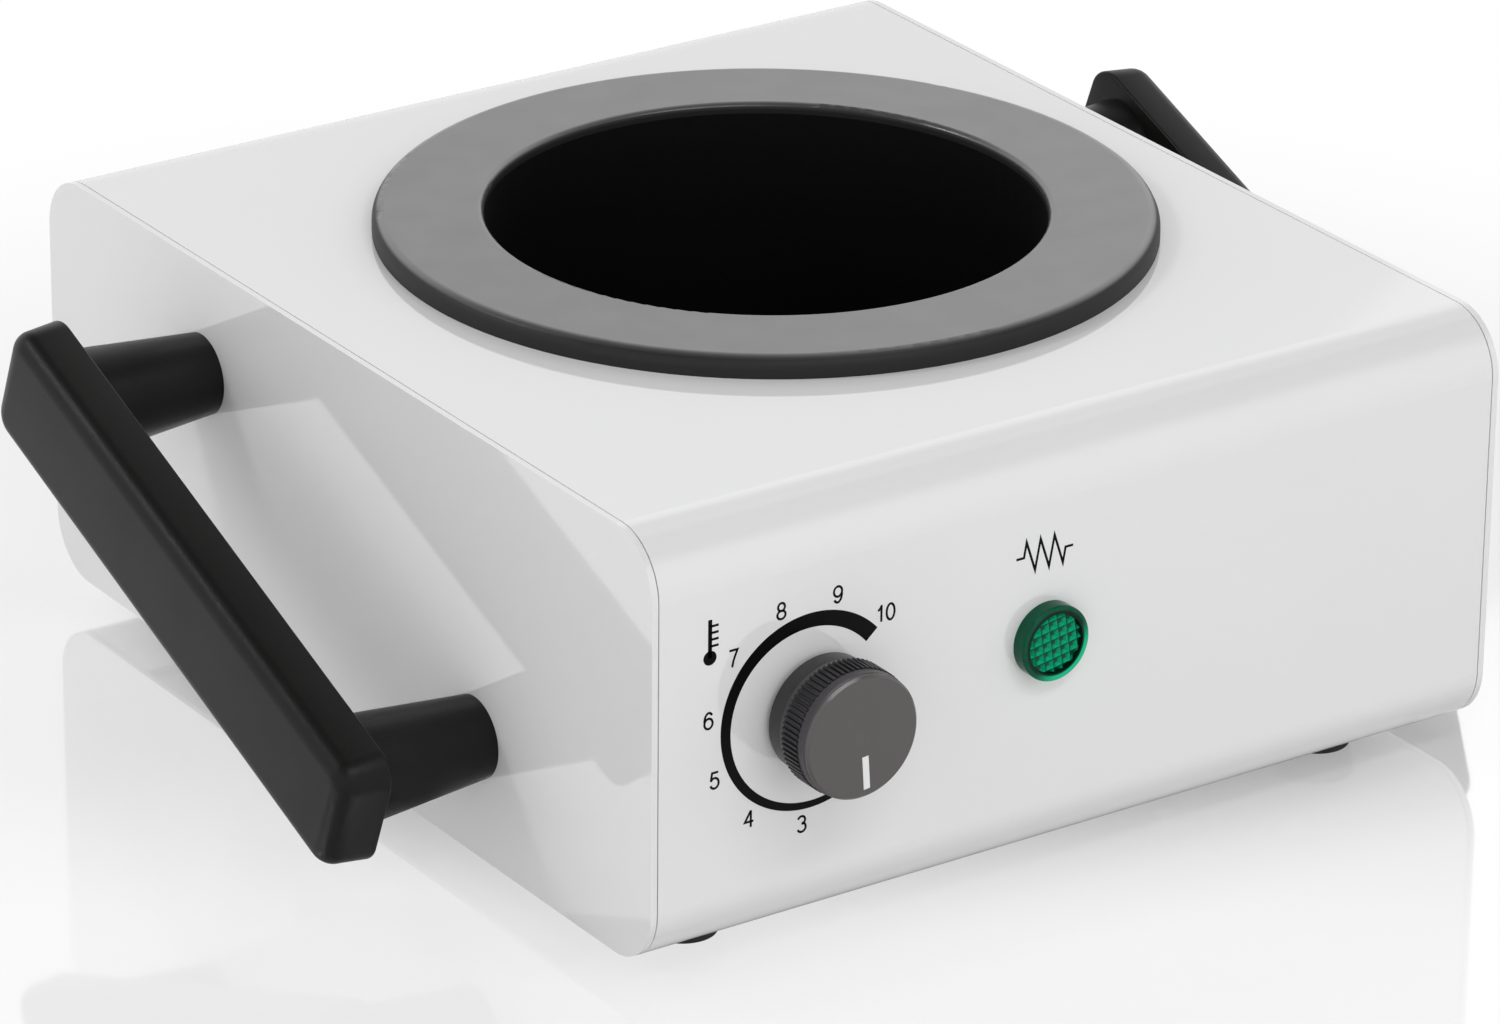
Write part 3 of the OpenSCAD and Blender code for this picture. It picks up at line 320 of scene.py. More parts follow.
def cap_satin(colour):
    """The knob's disc: satin, with hair-fine turned rings round its middle."""
    f = Finish("knob_disc")
    here = f.place(KNOB_PLACE)
    rings = f.waves(f.radius(here), 0.22 * MM)
    grain = f.noise(here, size=0.3 * MM, detail=2.0)
    return f.done(
        base_color=f.mix(grain, shade_of(colour, 0.9), shade_of(colour, 1.12)),
        roughness=0.22 + grain * 0.06,
        ior=1.6,
        normal=f.bump(rings * 0.3 + grain * 0.7, distance=0.002 * MM),
    )


def ribbed_plastic(colour):
    """The knob's moulding: black with a fine spark-eroded sparkle, and a painted sheen: a band in front of
    the ribs painted greyer.
    """
    f = Finish("knob_moulding")
    here = f.place(KNOB_PLACE)
    sparkle = f.noise(here, size=0.2 * MM, detail=3.0, roughness=0.7)
    # Painted sheen: the smooth band in front of the ribs is painted lighter than the ribs
    blur = 0.2 * MM
    band = f.step(0 - f.part(here, 1), BAND_START - blur, BAND_START + blur)
    plain = f.mix(sparkle, shade_of(colour, 0.2), shade_of(colour, 2.0))
    return f.done(
        base_color=f.mix(band, plain, shade_of(colour, 3.4)),
        roughness=0.2 + sparkle * 0.2,
        normal=f.bump(sparkle, distance=0.03 * MM),
    )


def flat_print(name, colour):
    """Screen-printed ink, a little uneven at its own scale."""
    f = Finish(name)
    dots = f.noise(f.place(), size=0.12 * MM, detail=2.0)
    return f.done(
        base_color=f.mix(dots, shade_of(colour, 0.85), shade_of(colour, 1.1)),
        roughness=0.42 + dots * 0.12,
        ior=1.2,
    )


def lens_green(colour):
    """Clear green plastic with a dark ring between the waffle and the rim. Painted light: a glow is painted
    at the rim's lower right, where the way from the middle lies along the lean, and painted highlights at the
    right and lower edges of each waffle pit, where its place across, or 1 less its height, is near 1 in
    pitches."""
    f = Finish("lens_plastic")
    here = f.place((LAMP_X, PANEL_Y, LAMP_Z))
    radius = f.radius(here)
    beyond_waffle = f.step(radius, *WAFFLE_END)
    ring = beyond_waffle * (1 - f.step(radius, *RING_END))
    # Painted glow: the base colour is brightened at the rim's lower right, along the lean
    lean = (f.part(here, 0) * math.cos(PAINTED_GLOW_LEAN) + f.part(here, 2) * math.sin(PAINTED_GLOW_LEAN)) / radius
    lit_side = (0.1, 0.85)
    rim = f.step(radius, *PAINTED_GLOW_START) * f.step(lean, *lit_side)
    # Painted highlights: the base colour is brightened at the right and lower edges of each waffle pit
    along = f.part(here, 0) * math.cos(WAFFLE_TURN) + f.part(here, 2) * math.sin(WAFFLE_TURN)
    upward = f.part(here, 2) * math.cos(WAFFLE_TURN) - f.part(here, 0) * math.sin(WAFFLE_TURN)
    across = f.math("FRACT", along / WAFFLE_PITCH + 0.5)
    height = f.math("FRACT", upward / WAFFLE_PITCH + 0.5)
    pit_edge = (0.6, 0.88)
    lower_right = (-0.1, 0.35)
    nearest = f.math("MAXIMUM", across, 1 - height)
    edges = f.step(nearest, *pit_edge) * f.step(across - height, *lower_right)
    painted_pit_highlights = edges * (1 - beyond_waffle)
    swirl = f.noise(here, size=1.6 * MM, detail=1.0)
    body = f.mix(f.clamp(ring + swirl * 0.5), colour, shade_of(colour, 0.22))
    # Colours of the painted glow at the rim and of the painted pit highlights
    glow = f.mix(rim, shade_of(colour, 4.5), shade_of(colour, 5.5))
    return f.done(
        base_color=f.mix(f.math("MAXIMUM", rim, painted_pit_highlights), body, glow),
        roughness=0.05 + swirl * 0.06,
        ior=1.24,
    )


def plated(name, colour, gloss=0.3):
    """Zinc-plated steel: pale crystals about 2 mm across over a fine rolled grain."""
    f = Finish(name)
    here = f.place()
    crystals = f.cells(here, 2.2 * MM)
    grain = f.noise(f.place(stretch=(1, 12, 1)), size=0.6 * MM, detail=3.0)
    return f.done(
        base_color=f.mix(crystals, shade_of(colour, 0.85), shade_of(colour, 1.12)),
        metallic=1.0,
        roughness=gloss + grain * 0.15 + crystals * 0.06,
        normal=f.bump(grain, distance=0.003 * MM),
    )


def drawn_metal(name, colour, gloss=0.28):
    """Brass or copper, slightly tarnished in soft patches."""
    f = Finish(name)
    here = f.place()
    tarnish = f.noise(here, size=3 * MM, detail=3.0)
    grain = f.noise(here, size=0.2 * MM, detail=2.0)
    return f.done(
        base_color=f.mix(tarnish, shade_of(colour, 0.65), shade_of(colour, 1.1)),
        metallic=1.0,
        roughness=gloss + tarnish * 0.2,
        normal=f.bump(grain, distance=0.003 * MM),
    )


def matt_rubber(name, colour):
    """Moulded rubber: matt, with a soft dusty bloom."""
    f = Finish(name)
    here = f.place()
    bloom = f.noise(here, size=2.5 * MM, detail=3.0)
    grain = f.noise(here, size=0.3 * MM, detail=2.0)
    return f.done(
        base_color=f.mix(bloom, shade_of(colour, 0.8), shade_of(colour, 1.6)),
        roughness=0.72 + grain * 0.15,
        normal=f.bump(grain, distance=0.02 * MM),
    )


def moulded(name, colour, gloss=0.45):
    """Plain moulded plastic with a fine even grain."""
    f = Finish(name)
    here = f.place()
    grain = f.noise(here, size=0.35 * MM, detail=2.0)
    return f.done(
        base_color=f.mix(grain, shade_of(colour, 0.9), shade_of(colour, 1.08)),
        roughness=gloss + grain * 0.1,
        normal=f.bump(grain, distance=0.006 * MM),
    )


def fibre_mat(colour):
    """Pressed mineral fibre: long soft strands crossing in two directions."""
    f = Finish("mineral_fibre")
    lengthways = f.noise(f.place(stretch=(1, 1, 9)), size=1.2 * MM, detail=4.0, roughness=0.7)
    turned = f.place(turn=(0, 0.9, 0.5), stretch=(9, 1, 1))
    crossways = f.noise(turned, size=1.2 * MM, detail=4.0, roughness=0.7)
    strands = f.math("MAXIMUM", lengthways, crossways)
    return f.done(
        base_color=f.mix(strands, shade_of(colour, 0.6), shade_of(colour, 1.15)),
        roughness=0.9,
        normal=f.bump(strands, distance=0.3 * MM),
    )


def clear_glass(colour):
    """The neon bulb's thin glass."""
    f = Finish("bulb_glass")
    haze = f.noise(f.place(), size=1.5 * MM, detail=2.0)
    return f.done(
        base_color=f.mix(haze, shade_of(colour, 0.9), colour),
        roughness=0.04 + haze * 0.06,
        transmission_weight=0.8,
        ior=1.5,
    )


def dress(material, *nodes):
    """Gives CAD nodes a material."""
    for name in nodes:
        slots = frame["nodes"][name].data.materials
        slots.clear()
        slots.append(material)


def lofted(name, rings, material, smooth_angle=32.0):
    """A closed mesh through rings of points: each ring joins the next, and the end rings are closed flat.
    rings is an array of rings by points by XYZ."""
    count, around = rings.shape[:2]
    along, turn = np.meshgrid(np.arange(count - 1), np.arange(around), indexing="ij")
    beside = (turn + 1) % around
    here, there = along * around, (along + 1) * around
    corners = [here + turn, here + beside, there + beside, there + turn]
    faces = np.stack(corners, -1).reshape(-1, 4).tolist()
    faces.append(list(range(around)))
    faces.append(list(range((count - 1) * around, count * around)))
    mesh = bpy.data.meshes.new(name)
    mesh.from_pydata(rings.reshape(-1, 3).tolist(), [], faces)
    return finished(name, mesh, material, smooth_angle)


def finished(name, mesh, material, smooth_angle):
    """Turns a mesh's faces outwards, shades it and puts it on the fixed body. Its edges stay sharp above an
    angle in degrees."""
    work = bmesh.new()
    work.from_mesh(mesh)
    bmesh.ops.remove_doubles(work, verts=work.verts, dist=MERGE)
    bmesh.ops.recalc_face_normals(work, faces=work.faces)
    work.to_mesh(mesh)
    work.free()
    mesh.materials.append(material)
    mesh.shade_smooth()
    mesh.set_sharp_from_angle(angle=math.radians(smooth_angle))
    piece = bpy.data.objects.new(name, mesh)
    bpy.context.scene.collection.objects.link(piece)
    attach(piece, "warmer")
    return piece


def on_panel(x, z, depth):
    """Points on the front panel, in metres, standing depth in front of it."""
    x, z, depth = np.broadcast_arrays(x, z, depth)
    return np.stack([x, PANEL_Y - depth, z], -1)


def inked(x_pair, z_pair, ink):
    """Rings for a printed band between two edges: each ring is the band's cross-section, ink thick, sunk a
    little into the enamel. x_pair and z_pair hold the two edges' coordinates along the band."""
    sunk = 0.2 * ink
    depth = np.array([0.0, ink, ink, 0.0]) - sunk
    x = np.stack([x_pair[0], x_pair[0], x_pair[1], x_pair[1]], -1)
    z = np.stack([z_pair[0], z_pair[0], z_pair[1], z_pair[1]], -1)
    return on_panel(x, z, depth)


def stroke(points, width, ink):
    """Rings for a printed line of even width through points, mitred at its corners. At a corner the edge
    lies along the bisector, at half the width over the cosine of half the turn."""
    points = np.asarray(points, float)
    way = np.diff(points, axis=0)
    way /= np.linalg.norm(way, axis=1)[:, None]
    before = np.vstack([way[:1], way])
    after = np.vstack([way, way[-1:]])
    middle = before + after
    middle /= np.linalg.norm(middle, axis=1)[:, None]
    across = np.stack([-middle[:, 1], middle[:, 0]], -1)
    reach = width / 2 / np.abs((middle * after).sum(1))
    left = points + across * reach[:, None]
    right = points - across * reach[:, None]
    return inked((left[:, 0], right[:, 0]), (left[:, 1], right[:, 1]), ink)


def bow(centre, reach, first, last, count=25):
    """Points of an ellipse's arc: the centre plus its two reaches times a turning angle's cosine and sine."""
    turn = np.radians(np.linspace(first, last, count))
    return np.stack([centre[0] + reach[0] * np.cos(turn), centre[1] + reach[1] * np.sin(turn)], -1)


def digit_lines():
    """The strokes of each digit, in a box from -0.5 to 0.5 both ways."""
    six = [bow((0.03, -0.05), (0.5, 0.55), 42, 180), bow((0, -0.18), (0.47, 0.32), 180, -180, 41)]
    return {
        "0": [bow((0, 0), (0.46, 0.5), 90, -270, 49)],
        "1": [[(-0.3, 0.22), (-0.05, 0.34), (0.1, 0.5)], [(0.1, 0.56), (0.1, -0.5)]],
        "3": [bow((-0.02, 0.25), (0.42, 0.25), 160, -88), bow((0, -0.22), (0.48, 0.28), 88, -160)],
        "4": [[(0.2, -0.56), (0.2, 0.5)], [(0.2, 0.5), (-0.5, -0.2), (0.5, -0.2)]],
        "5": [[(0.42, 0.5), (-0.28, 0.5), (-0.42, -0.02)], bow((0, -0.17), (0.48, 0.33), 152, -160)],
        "6": six,
        "7": [[(-0.46, 0.5), (0.48, 0.5), (0.2, 0.12), (0.0, -0.2), (-0.12, -0.56)]],
        "8": [bow((0, 0.25), (0.39, 0.25), 270, -90, 41), bow((0, -0.24), (0.47, 0.26), 90, -270, 41)],
        "9": [-line for line in six],
    }


DIGITS = digit_lines()


def joined(name, pieces, material):
    """One mesh from several printed pieces of the dial."""
    work = bmesh.new()
    for piece in pieces:
        work.from_mesh(piece.data)
        bpy.data.objects.remove(piece)
    mesh = bpy.data.meshes.new(name)
    work.to_mesh(mesh)
    work.free()
    return finished(name, mesh, material, smooth_angle=30.0)


def rounded_outline(half_length, half_width, radius, per_corner=9):
    """A rounded rectangle's points, corner by corner: each corner's centre plus its radius along a turning
    angle."""
    quarter = np.linspace(0, np.pi / 2, per_corner)
    turns = np.concatenate([quarter + k * np.pi / 2 for k in range(4)])
    side_u = np.repeat([1, -1, -1, 1], per_corner)
    side_v = np.repeat([1, 1, -1, -1], per_corner)
    radius = np.asarray(radius)[:, None]
    u = side_u * (np.asarray(half_length)[:, None] - radius) + radius * np.cos(turns)
    v = side_v * (np.asarray(half_width)[:, None] - radius) + radius * np.sin(turns)
    return u, v


def grip_rings(s, side):
    """Rings of a bridge handle's bar. The outline is inset by a profile that runs outwards from the bar's
    inner face: a small arris, a drafted side, then a quarter ellipse of the outer rounding. The ends are
    crowned: they fall back from the middle line by the crown times the square of the place across, from -1
    to 1."""
    arris = np.linspace(0, np.pi / 2, ARRIS_STEPS)
    turn = np.linspace(0, np.pi / 2, ROUND_STEPS)
    arris_in = s.arris_round * (1 - np.sin(arris))
    side_in = np.concatenate([arris_in, s.grip_draft + s.grip_round * (1 - np.cos(turn))])
    end_in = np.concatenate([arris_in, s.grip_draft + s.end_round * (1 - np.cos(turn))])
    out = np.concatenate([
        s.arris_round * (1 - np.cos(arris)),
        s.grip_thickness - s.grip_round * (1 - np.sin(turn)),
    ])
    least_corner = 0.25 * MM
    corner = np.maximum(s.grip_corner - np.minimum(side_in, end_in), least_corner)
    u, v = rounded_outline(s.grip_length / 2 - end_in, s.grip_width / 2 - side_in, corner)
    u = u * (1 - s.grip_crown / (s.grip_length / 2) * (v / (s.grip_width / 2)) ** 2)
    tilt = s.grip_tilt
    x = side * (BAR_HIGH.x - s.grip_thickness + out)[:, None] + 0 * u
    y = u * math.cos(tilt) - v * math.sin(tilt)
    z = (BAR_LOW.z + BAR_HIGH.z) / 2 + u * math.sin(tilt) + v * math.cos(tilt)
    return np.stack([x, y, z], -1)


def size(name, about, default):
    """A length in metres, shown with its unit."""
    return bpy.props.FloatProperty(name=name, description=about, default=default, unit="LENGTH", precision=5)


def angle(name, about, degrees):
    """An angle, shown in degrees."""
    default = math.radians(degrees)
    return bpy.props.FloatProperty(name=name, description=about, default=default, subtype="ANGLE")


def number(name, about, default):
    """A plain number."""
    return bpy.props.FloatProperty(name=name, description=about, default=default)


def whole(name, about, default):
    """A whole number."""
    return bpy.props.IntProperty(name=name, description=about, default=default)


def colour(name, about, value):
    """A colour."""
    return bpy.props.FloatVectorProperty(
        name=name, description=about, default=value, size=3, subtype="COLOR", min=0.0, max=1.0
    )


class WarmerSizes(bpy.types.PropertyGroup):
    """Sizes of the printed marks and of the moulded grips."""

    ink: size("Ink", "Thickness of the printed ink", 0.04 * MM)
    dial_x: size("Dial X", "Sideways place of the printed dial's middle", -72.3 * MM)
    dial_z: size("Dial Z", "Height of the printed dial's middle", 59.05 * MM)
    arc_radius: size("Arc radius", "Outer radius of the dial's arc", 22.85 * MM)
    arc_wide: size("Arc wide", "Width of the arc at its hot end", 3.85 * MM)
    arc_narrow: size("Arc narrow", "Width of the arc at its cool end", 1.07 * MM)
    arc_hot: angle("Hot end", "Angle of the arc's hot end", 41.7)
    arc_cool: angle("Cool end", "Angle of the arc's cool end", 331.7)
    number_radius: size("Number radius", "Radius that the numbers stand on", 26.3 * MM)
    number_height: size("Number height", "Height of the numbers along their stroke's middle", 3.7 * MM)
    number_width: size("Number width", "Width of the numbers along their stroke's middle", 2.2 * MM)
    number_line: size("Number line", "Width of the numbers' stroke", 0.54 * MM)
    number_gap: size("Number gap", "From the middle of the 1 to the middle of the 0 in 10", 2.6 * MM)
    number_step: angle("Number step", "Angle from one number to the next", 31.8)
    number_three: angle("Number three", "Angle of the number 3", -94)
    first_number: whole("First", "First number that is printed", 3)
    last_number: whole("Last", "Last number that is printed", 10)
    bulb_x: size("Bulb X", "Sideways place of the thermometer", -98.0 * MM)
    bulb_z: size("Bulb Z", "Height of the thermometer's bulb", 77.85 * MM)
    bulb_radius: size("Bulb radius", "Radius of the thermometer's bulb", 1.65 * MM)
    stem_width: size("Stem width", "Width of the thermometer's stem", 1.0 * MM)
    stem_height: size("Stem height", "Height of the stem above the bulb's middle", 8.8 * MM)
    tick_length: size("Tick length", "Length of a tick past the stem", 1.65 * MM)
    tick_step: size("Tick step", "Height from one tick to the next", 1.53 * MM)
    tick_first: size("First tick", "Height of the stem's top above the first tick", 1.55 * MM)
    tick_width: size("Tick width", "Width of a tick", 0.56 * MM)
    tick_count: whole("Ticks", "Number of the thermometer's ticks", 4)
    heat_x: size("Heat mark X", "Left end of the zigzag", -19.1 * MM)
    heat_z: size("Heat mark Z", "Height of the zigzag's middle", 80.95 * MM)
    heat_reach: size("Heat mark reach", "Height of a zigzag above its middle", 3.5 * MM)
    heat_width: size("Heat mark width", "Width of the zigzag's line", 0.58 * MM)
    heat_lead: size("Heat mark lead", "Length of the straight lead at each end", 2.0 * MM)
    heat_rise: size("Heat mark rise", "Sideways reach of the first rise and the last", 0.62 * MM)
    heat_fall: size("Heat mark fall", "Sideways reach from a peak to its dip", 2.4 * MM)
    heat_pitch: size("Heat mark pitch", "From one peak to the next", 3.7 * MM)
    heat_peaks: whole("Heat mark peaks", "Number of peaks", 3)
    grip_length: size("Grip length", "Length of a handle's bar", 156 * MM)
    grip_width: size("Grip width", "Width of the bar at its inner face", 31 * MM)
    grip_thickness: size("Grip thickness", "Thickness of the bar", 12 * MM)
    grip_draft: size("Grip draft", "How much narrower the bar is outside, on each side", 0.8 * MM)
    grip_round: size("Grip rounding", "Radius of the bar's long outer edges", 4.5 * MM)
    end_round: size("End rounding", "How far the outer rounding reaches in from the bar's ends", 5.5 * MM)
    grip_corner: size("Grip corner", "Radius of the bar's end corners", 6.5 * MM)
    grip_crown: size("Grip crown", "How far the ends stand out in their middle", 1.2 * MM)
    arris_round: size("Arris", "Radius of the bar's inner edges", 0.6 * MM)
    grip_tilt: angle("Grip tilt", "Slope of the bars, up towards the rear", 21.2)


class WarmerColours(bpy.types.PropertyGroup):
    """Colours of the finishes."""

    enamel: colour("Enamel", "White enamel of the housing", (0.86, 0.86, 0.865))
    collar: colour("Collar", "Satin black collar", (0.014, 0.014, 0.0135))
    pot: colour("Pot", "Dark coat of the pot", (0.002, 0.002, 0.002))
    grip: colour("Grips", "Black phenolic of the handles", (0.006, 0.0056, 0.0053))
    knob: colour("Knob", "Black moulding of the knob", (0.014, 0.012, 0.0145))
    disc: colour("Disc", "Dark grey disc of the knob", (0.085, 0.078, 0.077))
    pointer: colour("Pointer", "White pointer", (0.9, 0.9, 0.9))
    ink: colour("Ink", "Black printed ink", (0.002, 0.002, 0.002))
    lens: colour("Lens", "Green lens of the pilot lamp", (0.001, 0.1, 0.05))
    plating: colour("Plating", "Zinc-plated steel", (0.62, 0.63, 0.66))
    brass: colour("Brass", "Terminals and inserts", (0.72, 0.55, 0.24))
    copper: colour("Copper", "Sensor bulb and capillary", (0.72, 0.36, 0.22))
    rubber: colour("Rubber", "Feet and cable seal", (0.028, 0.028, 0.03))
    silicone: colour("Silicone", "Gasket under the pot's flange", (0.36, 0.07, 0.04))
    fibre: colour("Fibre", "Insulation round the pot", (0.72, 0.68, 0.56))
    ceramic: colour("Moulding", "Switch and terminal block", (0.74, 0.71, 0.6))
    cutout: colour("Cut-out", "Case of the thermal cut-out", (0.04, 0.04, 0.042))
    holder: colour("Lamp holder", "Black holder of the pilot lamp", (0.03, 0.03, 0.03))
    glass: colour("Glass", "Glass of the neon bulb", (0.9, 0.75, 0.6))
    gland: colour("Gland", "Nylon of the cable gland", (0.025, 0.025, 0.026))
    heater_lead: colour("Heater leads", "Cream sleeving", (0.7, 0.64, 0.46))
    switch_lead: colour("Switch leads", "Brown sleeving", (0.16, 0.07, 0.03))
    lamp_lead: colour("Lamp leads", "Blue sleeving", (0.03, 0.1, 0.36))
    earth_lead: colour("Earth lead", "Green sleeving", (0.1, 0.4, 0.06))


class WarmerStudio(bpy.types.PropertyGroup):
    """The camera and the lamps."""

    azimuth: angle("Azimuth", "Camera's turn to the right of the front", -34.263)
    elevation: angle("Elevation", "Camera's height as an angle", 24.007)
    roll: angle("Roll", "Camera's roll", 0.573)
    distance: size("Distance", "From the camera to the aim", 1.79272)
    aim_height: size("Aim height", "Height of the point that the camera looks past", 0.057)
    pan_left: size("Pan left", "Camera's move to its left, which moves the object right", 0.001573)
    pan_down: size("Pan down", "Camera's move down, which moves the object up", 0.015428)
    focal: number("Focal length", "In mm, on a 36 mm sensor", 188.02)
    fill: number("Fill", "Strength of the room's light", 0.2)
    backdrop: number("Backdrop", "Strength of the lit backdrop", 1.06)
    screens: number("Screens", "Strength of the low screens in front", 0.95)
    rear: number("Rear softbox", "Watts of the softbox behind", 3.0)
    right: number("Right softbox", "Watts of the softbox at the right", 1.6)
    front: number("Front softbox", "Watts of the softbox in front", 5.2)
    table: colour("Table", "Pale table top", (0.93, 0.93, 0.93))
    glow: number("Table glow", "Plain white in the near table", 0.3)
    glow_near: size("Glow start", "Distance from the middle where the table starts to fade", 0.22)
    glow_far: size("Glow end", "Distance from the middle where the table is plain white", 0.4)
    front_near: size("Front glow start", "Distance in front where the table starts to brighten", 0.03)
    front_far: size("Front glow end", "Distance in front where the table has its full glow", 0.14)
    front_glow: number("Front glow", "Plain white in front", 0.72)


class WARMER_OT_housing(bpy.types.Operator):
    """Enamels the wrapped sheet and the side plates, and plates the base"""

    bl_idname = "warmer.housing"
    bl_label = "Housing"

    def execute(self, context):
        c = context.scene.warmer_colours
        dress(enamel(c.enamel), "housing_wrap", "side_plate_left", "side_plate_right")
        dress(plated("zinc_sheet", c.plating, 0.34), "base_plate")
        dress(matt_rubber("foot_rubber", c.rubber), "rubber_feet")
        dress(plated("zinc_fastener", c.plating), "base_screws", "foot_screws", "foot_nuts")
        return {"FINISHED"}


class WARMER_OT_well(bpy.types.Operator):
    """Finishes the collar, the pot and everything that heats or insulates it"""

    bl_idname = "warmer.well"
    bl_label = "Well"

    def execute(self, context):
        c = context.scene.warmer_colours
        dress(collar_satin(c.collar), "collar_ring")
        dress(pot_coat(c.pot), "heating_pot")
        dress(matt_rubber("gasket_silicone", c.silicone), "pot_gasket")
        dress(plated("heater_sheet", c.plating, 0.4), "heater_band", "bulb_clip", "support_pillars")
        dress(plated("well_fastener", c.plating), "collar_screws", "band_screw", "pillar_screws")
        dress(fibre_mat(c.fibre), "insulation_sleeve", "insulation_disc")
        dress(drawn_metal("drawn_copper", c.copper), "sensor_bulb", "capillary_tube")
        dress(moulded("cutout_case", c.cutout), "thermal_cutout")
        return {"FINISHED"}


class WARMER_OT_handles(bpy.types.Operator):
    """Builds the smooth moulded grips and finishes their posts and fixings"""

    bl_idname = "warmer.handles"
    bl_label = "Handles"

    def execute(self, context):
        s = context.scene.warmer_sizes
        c = context.scene.warmer_colours
        black = phenolic(c.grip)
        for name, side in (("left", -1), ("right", 1)):
            grip = lofted("grip_" + name, grip_rings(s, side), black, smooth_angle=40.0)
            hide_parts("handle_bar_" + name)
        dress(black, "handle_posts_left", "handle_posts_right")
        dress(drawn_metal("insert_brass", c.brass), "handle_inserts")
        dress(plated("handle_fastener", c.plating), "handle_screws", "handle_washers")
        return {"FINISHED"}


class WARMER_OT_knob(bpy.types.Operator):
    """Finishes the thermostat's knob, disc, pointer and spindle"""

    bl_idname = "warmer.knob"
    bl_label = "Knob"

    def execute(self, context):
        c = context.scene.warmer_colours
        dress(ribbed_plastic(c.knob), "knob_body")
        dress(cap_satin(c.disc), "knob_cap")
        dress(flat_print("pointer_white", c.pointer), "knob_pointer")
        steel = plated("spindle_steel", c.plating, 0.25)
        dress(steel, "knob_spring", "thermostat_spindle", "bush_nut", "bush_washer")
        return {"FINISHED"}


class WARMER_OT_pilot_lamp(bpy.types.Operator):
    """Finishes the pilot lamp's lens, holder and neon bulb"""

    bl_idname = "warmer.pilot_lamp"
    bl_label = "Pilot lamp"

    def execute(self, context):
        c = context.scene.warmer_colours
        dress(lens_green(c.lens), "lamp_lens")
        dress(moulded("holder_black", c.holder), "lamp_holder")
        dress(plated("clip_steel", c.plating), "lamp_clip")
        dress(clear_glass(c.glass), "neon_lamp")
        return {"FINISHED"}


class WARMER_OT_dial_marks(bpy.types.Operator):
    """Prints the dial's arc and numbers, the thermometer and the heat mark on the front panel"""

    bl_idname = "warmer.dial_marks"
    bl_label = "Dial marks"

    def arc(self, s, ink):
        """The arc narrows evenly along its angle: radius R outside and R - width(angle) inside."""
        turn = np.linspace(s.arc_hot, s.arc_cool, ARC_STEPS)
        inner = s.arc_radius - np.linspace(s.arc_wide, s.arc_narrow, turn.size)
        x = (s.dial_x + s.arc_radius * np.cos(turn), s.dial_x + inner * np.cos(turn))
        z = (s.dial_z + s.arc_radius * np.sin(turn), s.dial_z + inner * np.sin(turn))
        return lofted("dial_arc", inked(x, z, s.ink), ink)

    def number(self, s, ink, value):
        """One number, upright, with its middle on the dial's number circle."""
        turn = s.number_three - s.number_step * (value - s.first_number)
        digits = str(value)
        shift = s.number_gap * (np.arange(len(digits)) - (len(digits) - 1) / 2)
        scale = np.array([s.number_width, s.number_height])
        middle = np.array([s.dial_x, s.dial_z])
        centre = middle + s.number_radius * np.array([math.cos(turn), math.sin(turn)])
        return [
            lofted("digit", stroke(centre + [aside, 0] + np.multiply(line, scale), s.number_line, s.ink), ink)
            for digit, aside in zip(digits, shift)
            for line in DIGITS[digit]
        ]

    def thermometer(self, s, ink):
        """A round bulb, a straight stem, and ticks to its right."""
        turn = np.linspace(0, np.pi, BULB_STEPS)
        top = s.bulb_z + s.stem_height
        bulb_x = s.bulb_x + s.bulb_radius * np.cos(turn)
        sweep = s.bulb_radius * np.sin(turn)
        bulb = lofted("bulb", inked((bulb_x, bulb_x), (s.bulb_z + sweep, s.bulb_z - sweep), s.ink), ink)
        stem = lofted("stem", stroke([(s.bulb_x, s.bulb_z), (s.bulb_x, top)], s.stem_width, s.ink), ink)
        end = s.bulb_x + s.stem_width / 2 + s.tick_length
        ticks = [
            lofted("tick", stroke([(s.bulb_x, z), (end, z)], s.tick_width, s.ink), ink)
            for z in top - s.tick_first - s.tick_step * np.arange(s.tick_count)
        ]
        return joined("thermometer_mark", [bulb, stem, *ticks], ink)

    def heat_mark(self, s, ink):
        """A zigzag like a resistor's sign: short leads, and between them steep rises and slanted falls."""
        start = s.heat_x + s.heat_lead
        line = [(s.heat_x, s.heat_z), (start, s.heat_z)]
        for k in range(s.heat_peaks):
            peak = start + s.heat_rise + k * s.heat_pitch
            line.append((peak, s.heat_z + s.heat_reach))
            line.append((peak + s.heat_fall, s.heat_z - s.heat_reach))
        end = line[-1][0] + s.heat_rise
        line += [(end, s.heat_z), (end + s.heat_lead, s.heat_z)]
        return lofted("heat_mark", stroke(line, s.heat_width, s.ink), ink)

    def execute(self, context):
        s = context.scene.warmer_sizes
        ink = flat_print("black_ink", context.scene.warmer_colours.ink)
        marks = [self.arc(s, ink), self.thermometer(s, ink), self.heat_mark(s, ink)]
        lines = []
        for value in range(s.first_number, s.last_number + 1):
            lines += self.number(s, ink, value)
        marks.append(joined("dial_numbers", lines, ink))
        return {"FINISHED"}


class WARMER_OT_inner_works(bpy.types.Operator):
    """Finishes the gland, the switch, the terminals and the wires"""

    bl_idname = "warmer.inner_works"
    bl_label = "Inner works"

    def execute(self, context):
        c = context.scene.warmer_colours
        dress(moulded("gland_nylon", c.gland, 0.4), "gland_body", "gland_nut", "gland_locknut")
        dress(matt_rubber("seal_rubber", c.rubber), "gland_seal")
        dress(moulded("switch_moulding", c.ceramic), "thermostat_switch", "terminal_block")
        brass = drawn_metal("terminal_brass", c.brass)
        dress(brass, "thermostat_terminals", "lamp_terminals", "terminal_screws", "earth_stud")
        dress(matt_rubber("lead_cream", c.heater_lead), "heater_leads")
        dress(matt_rubber("lead_brown", c.switch_lead), "switch_leads")
        dress(matt_rubber("lead_blue", c.lamp_lead), "lamp_leads")
        dress(matt_rubber("lead_green", c.earth_lead), "earth_lead")
        return {"FINISHED"}


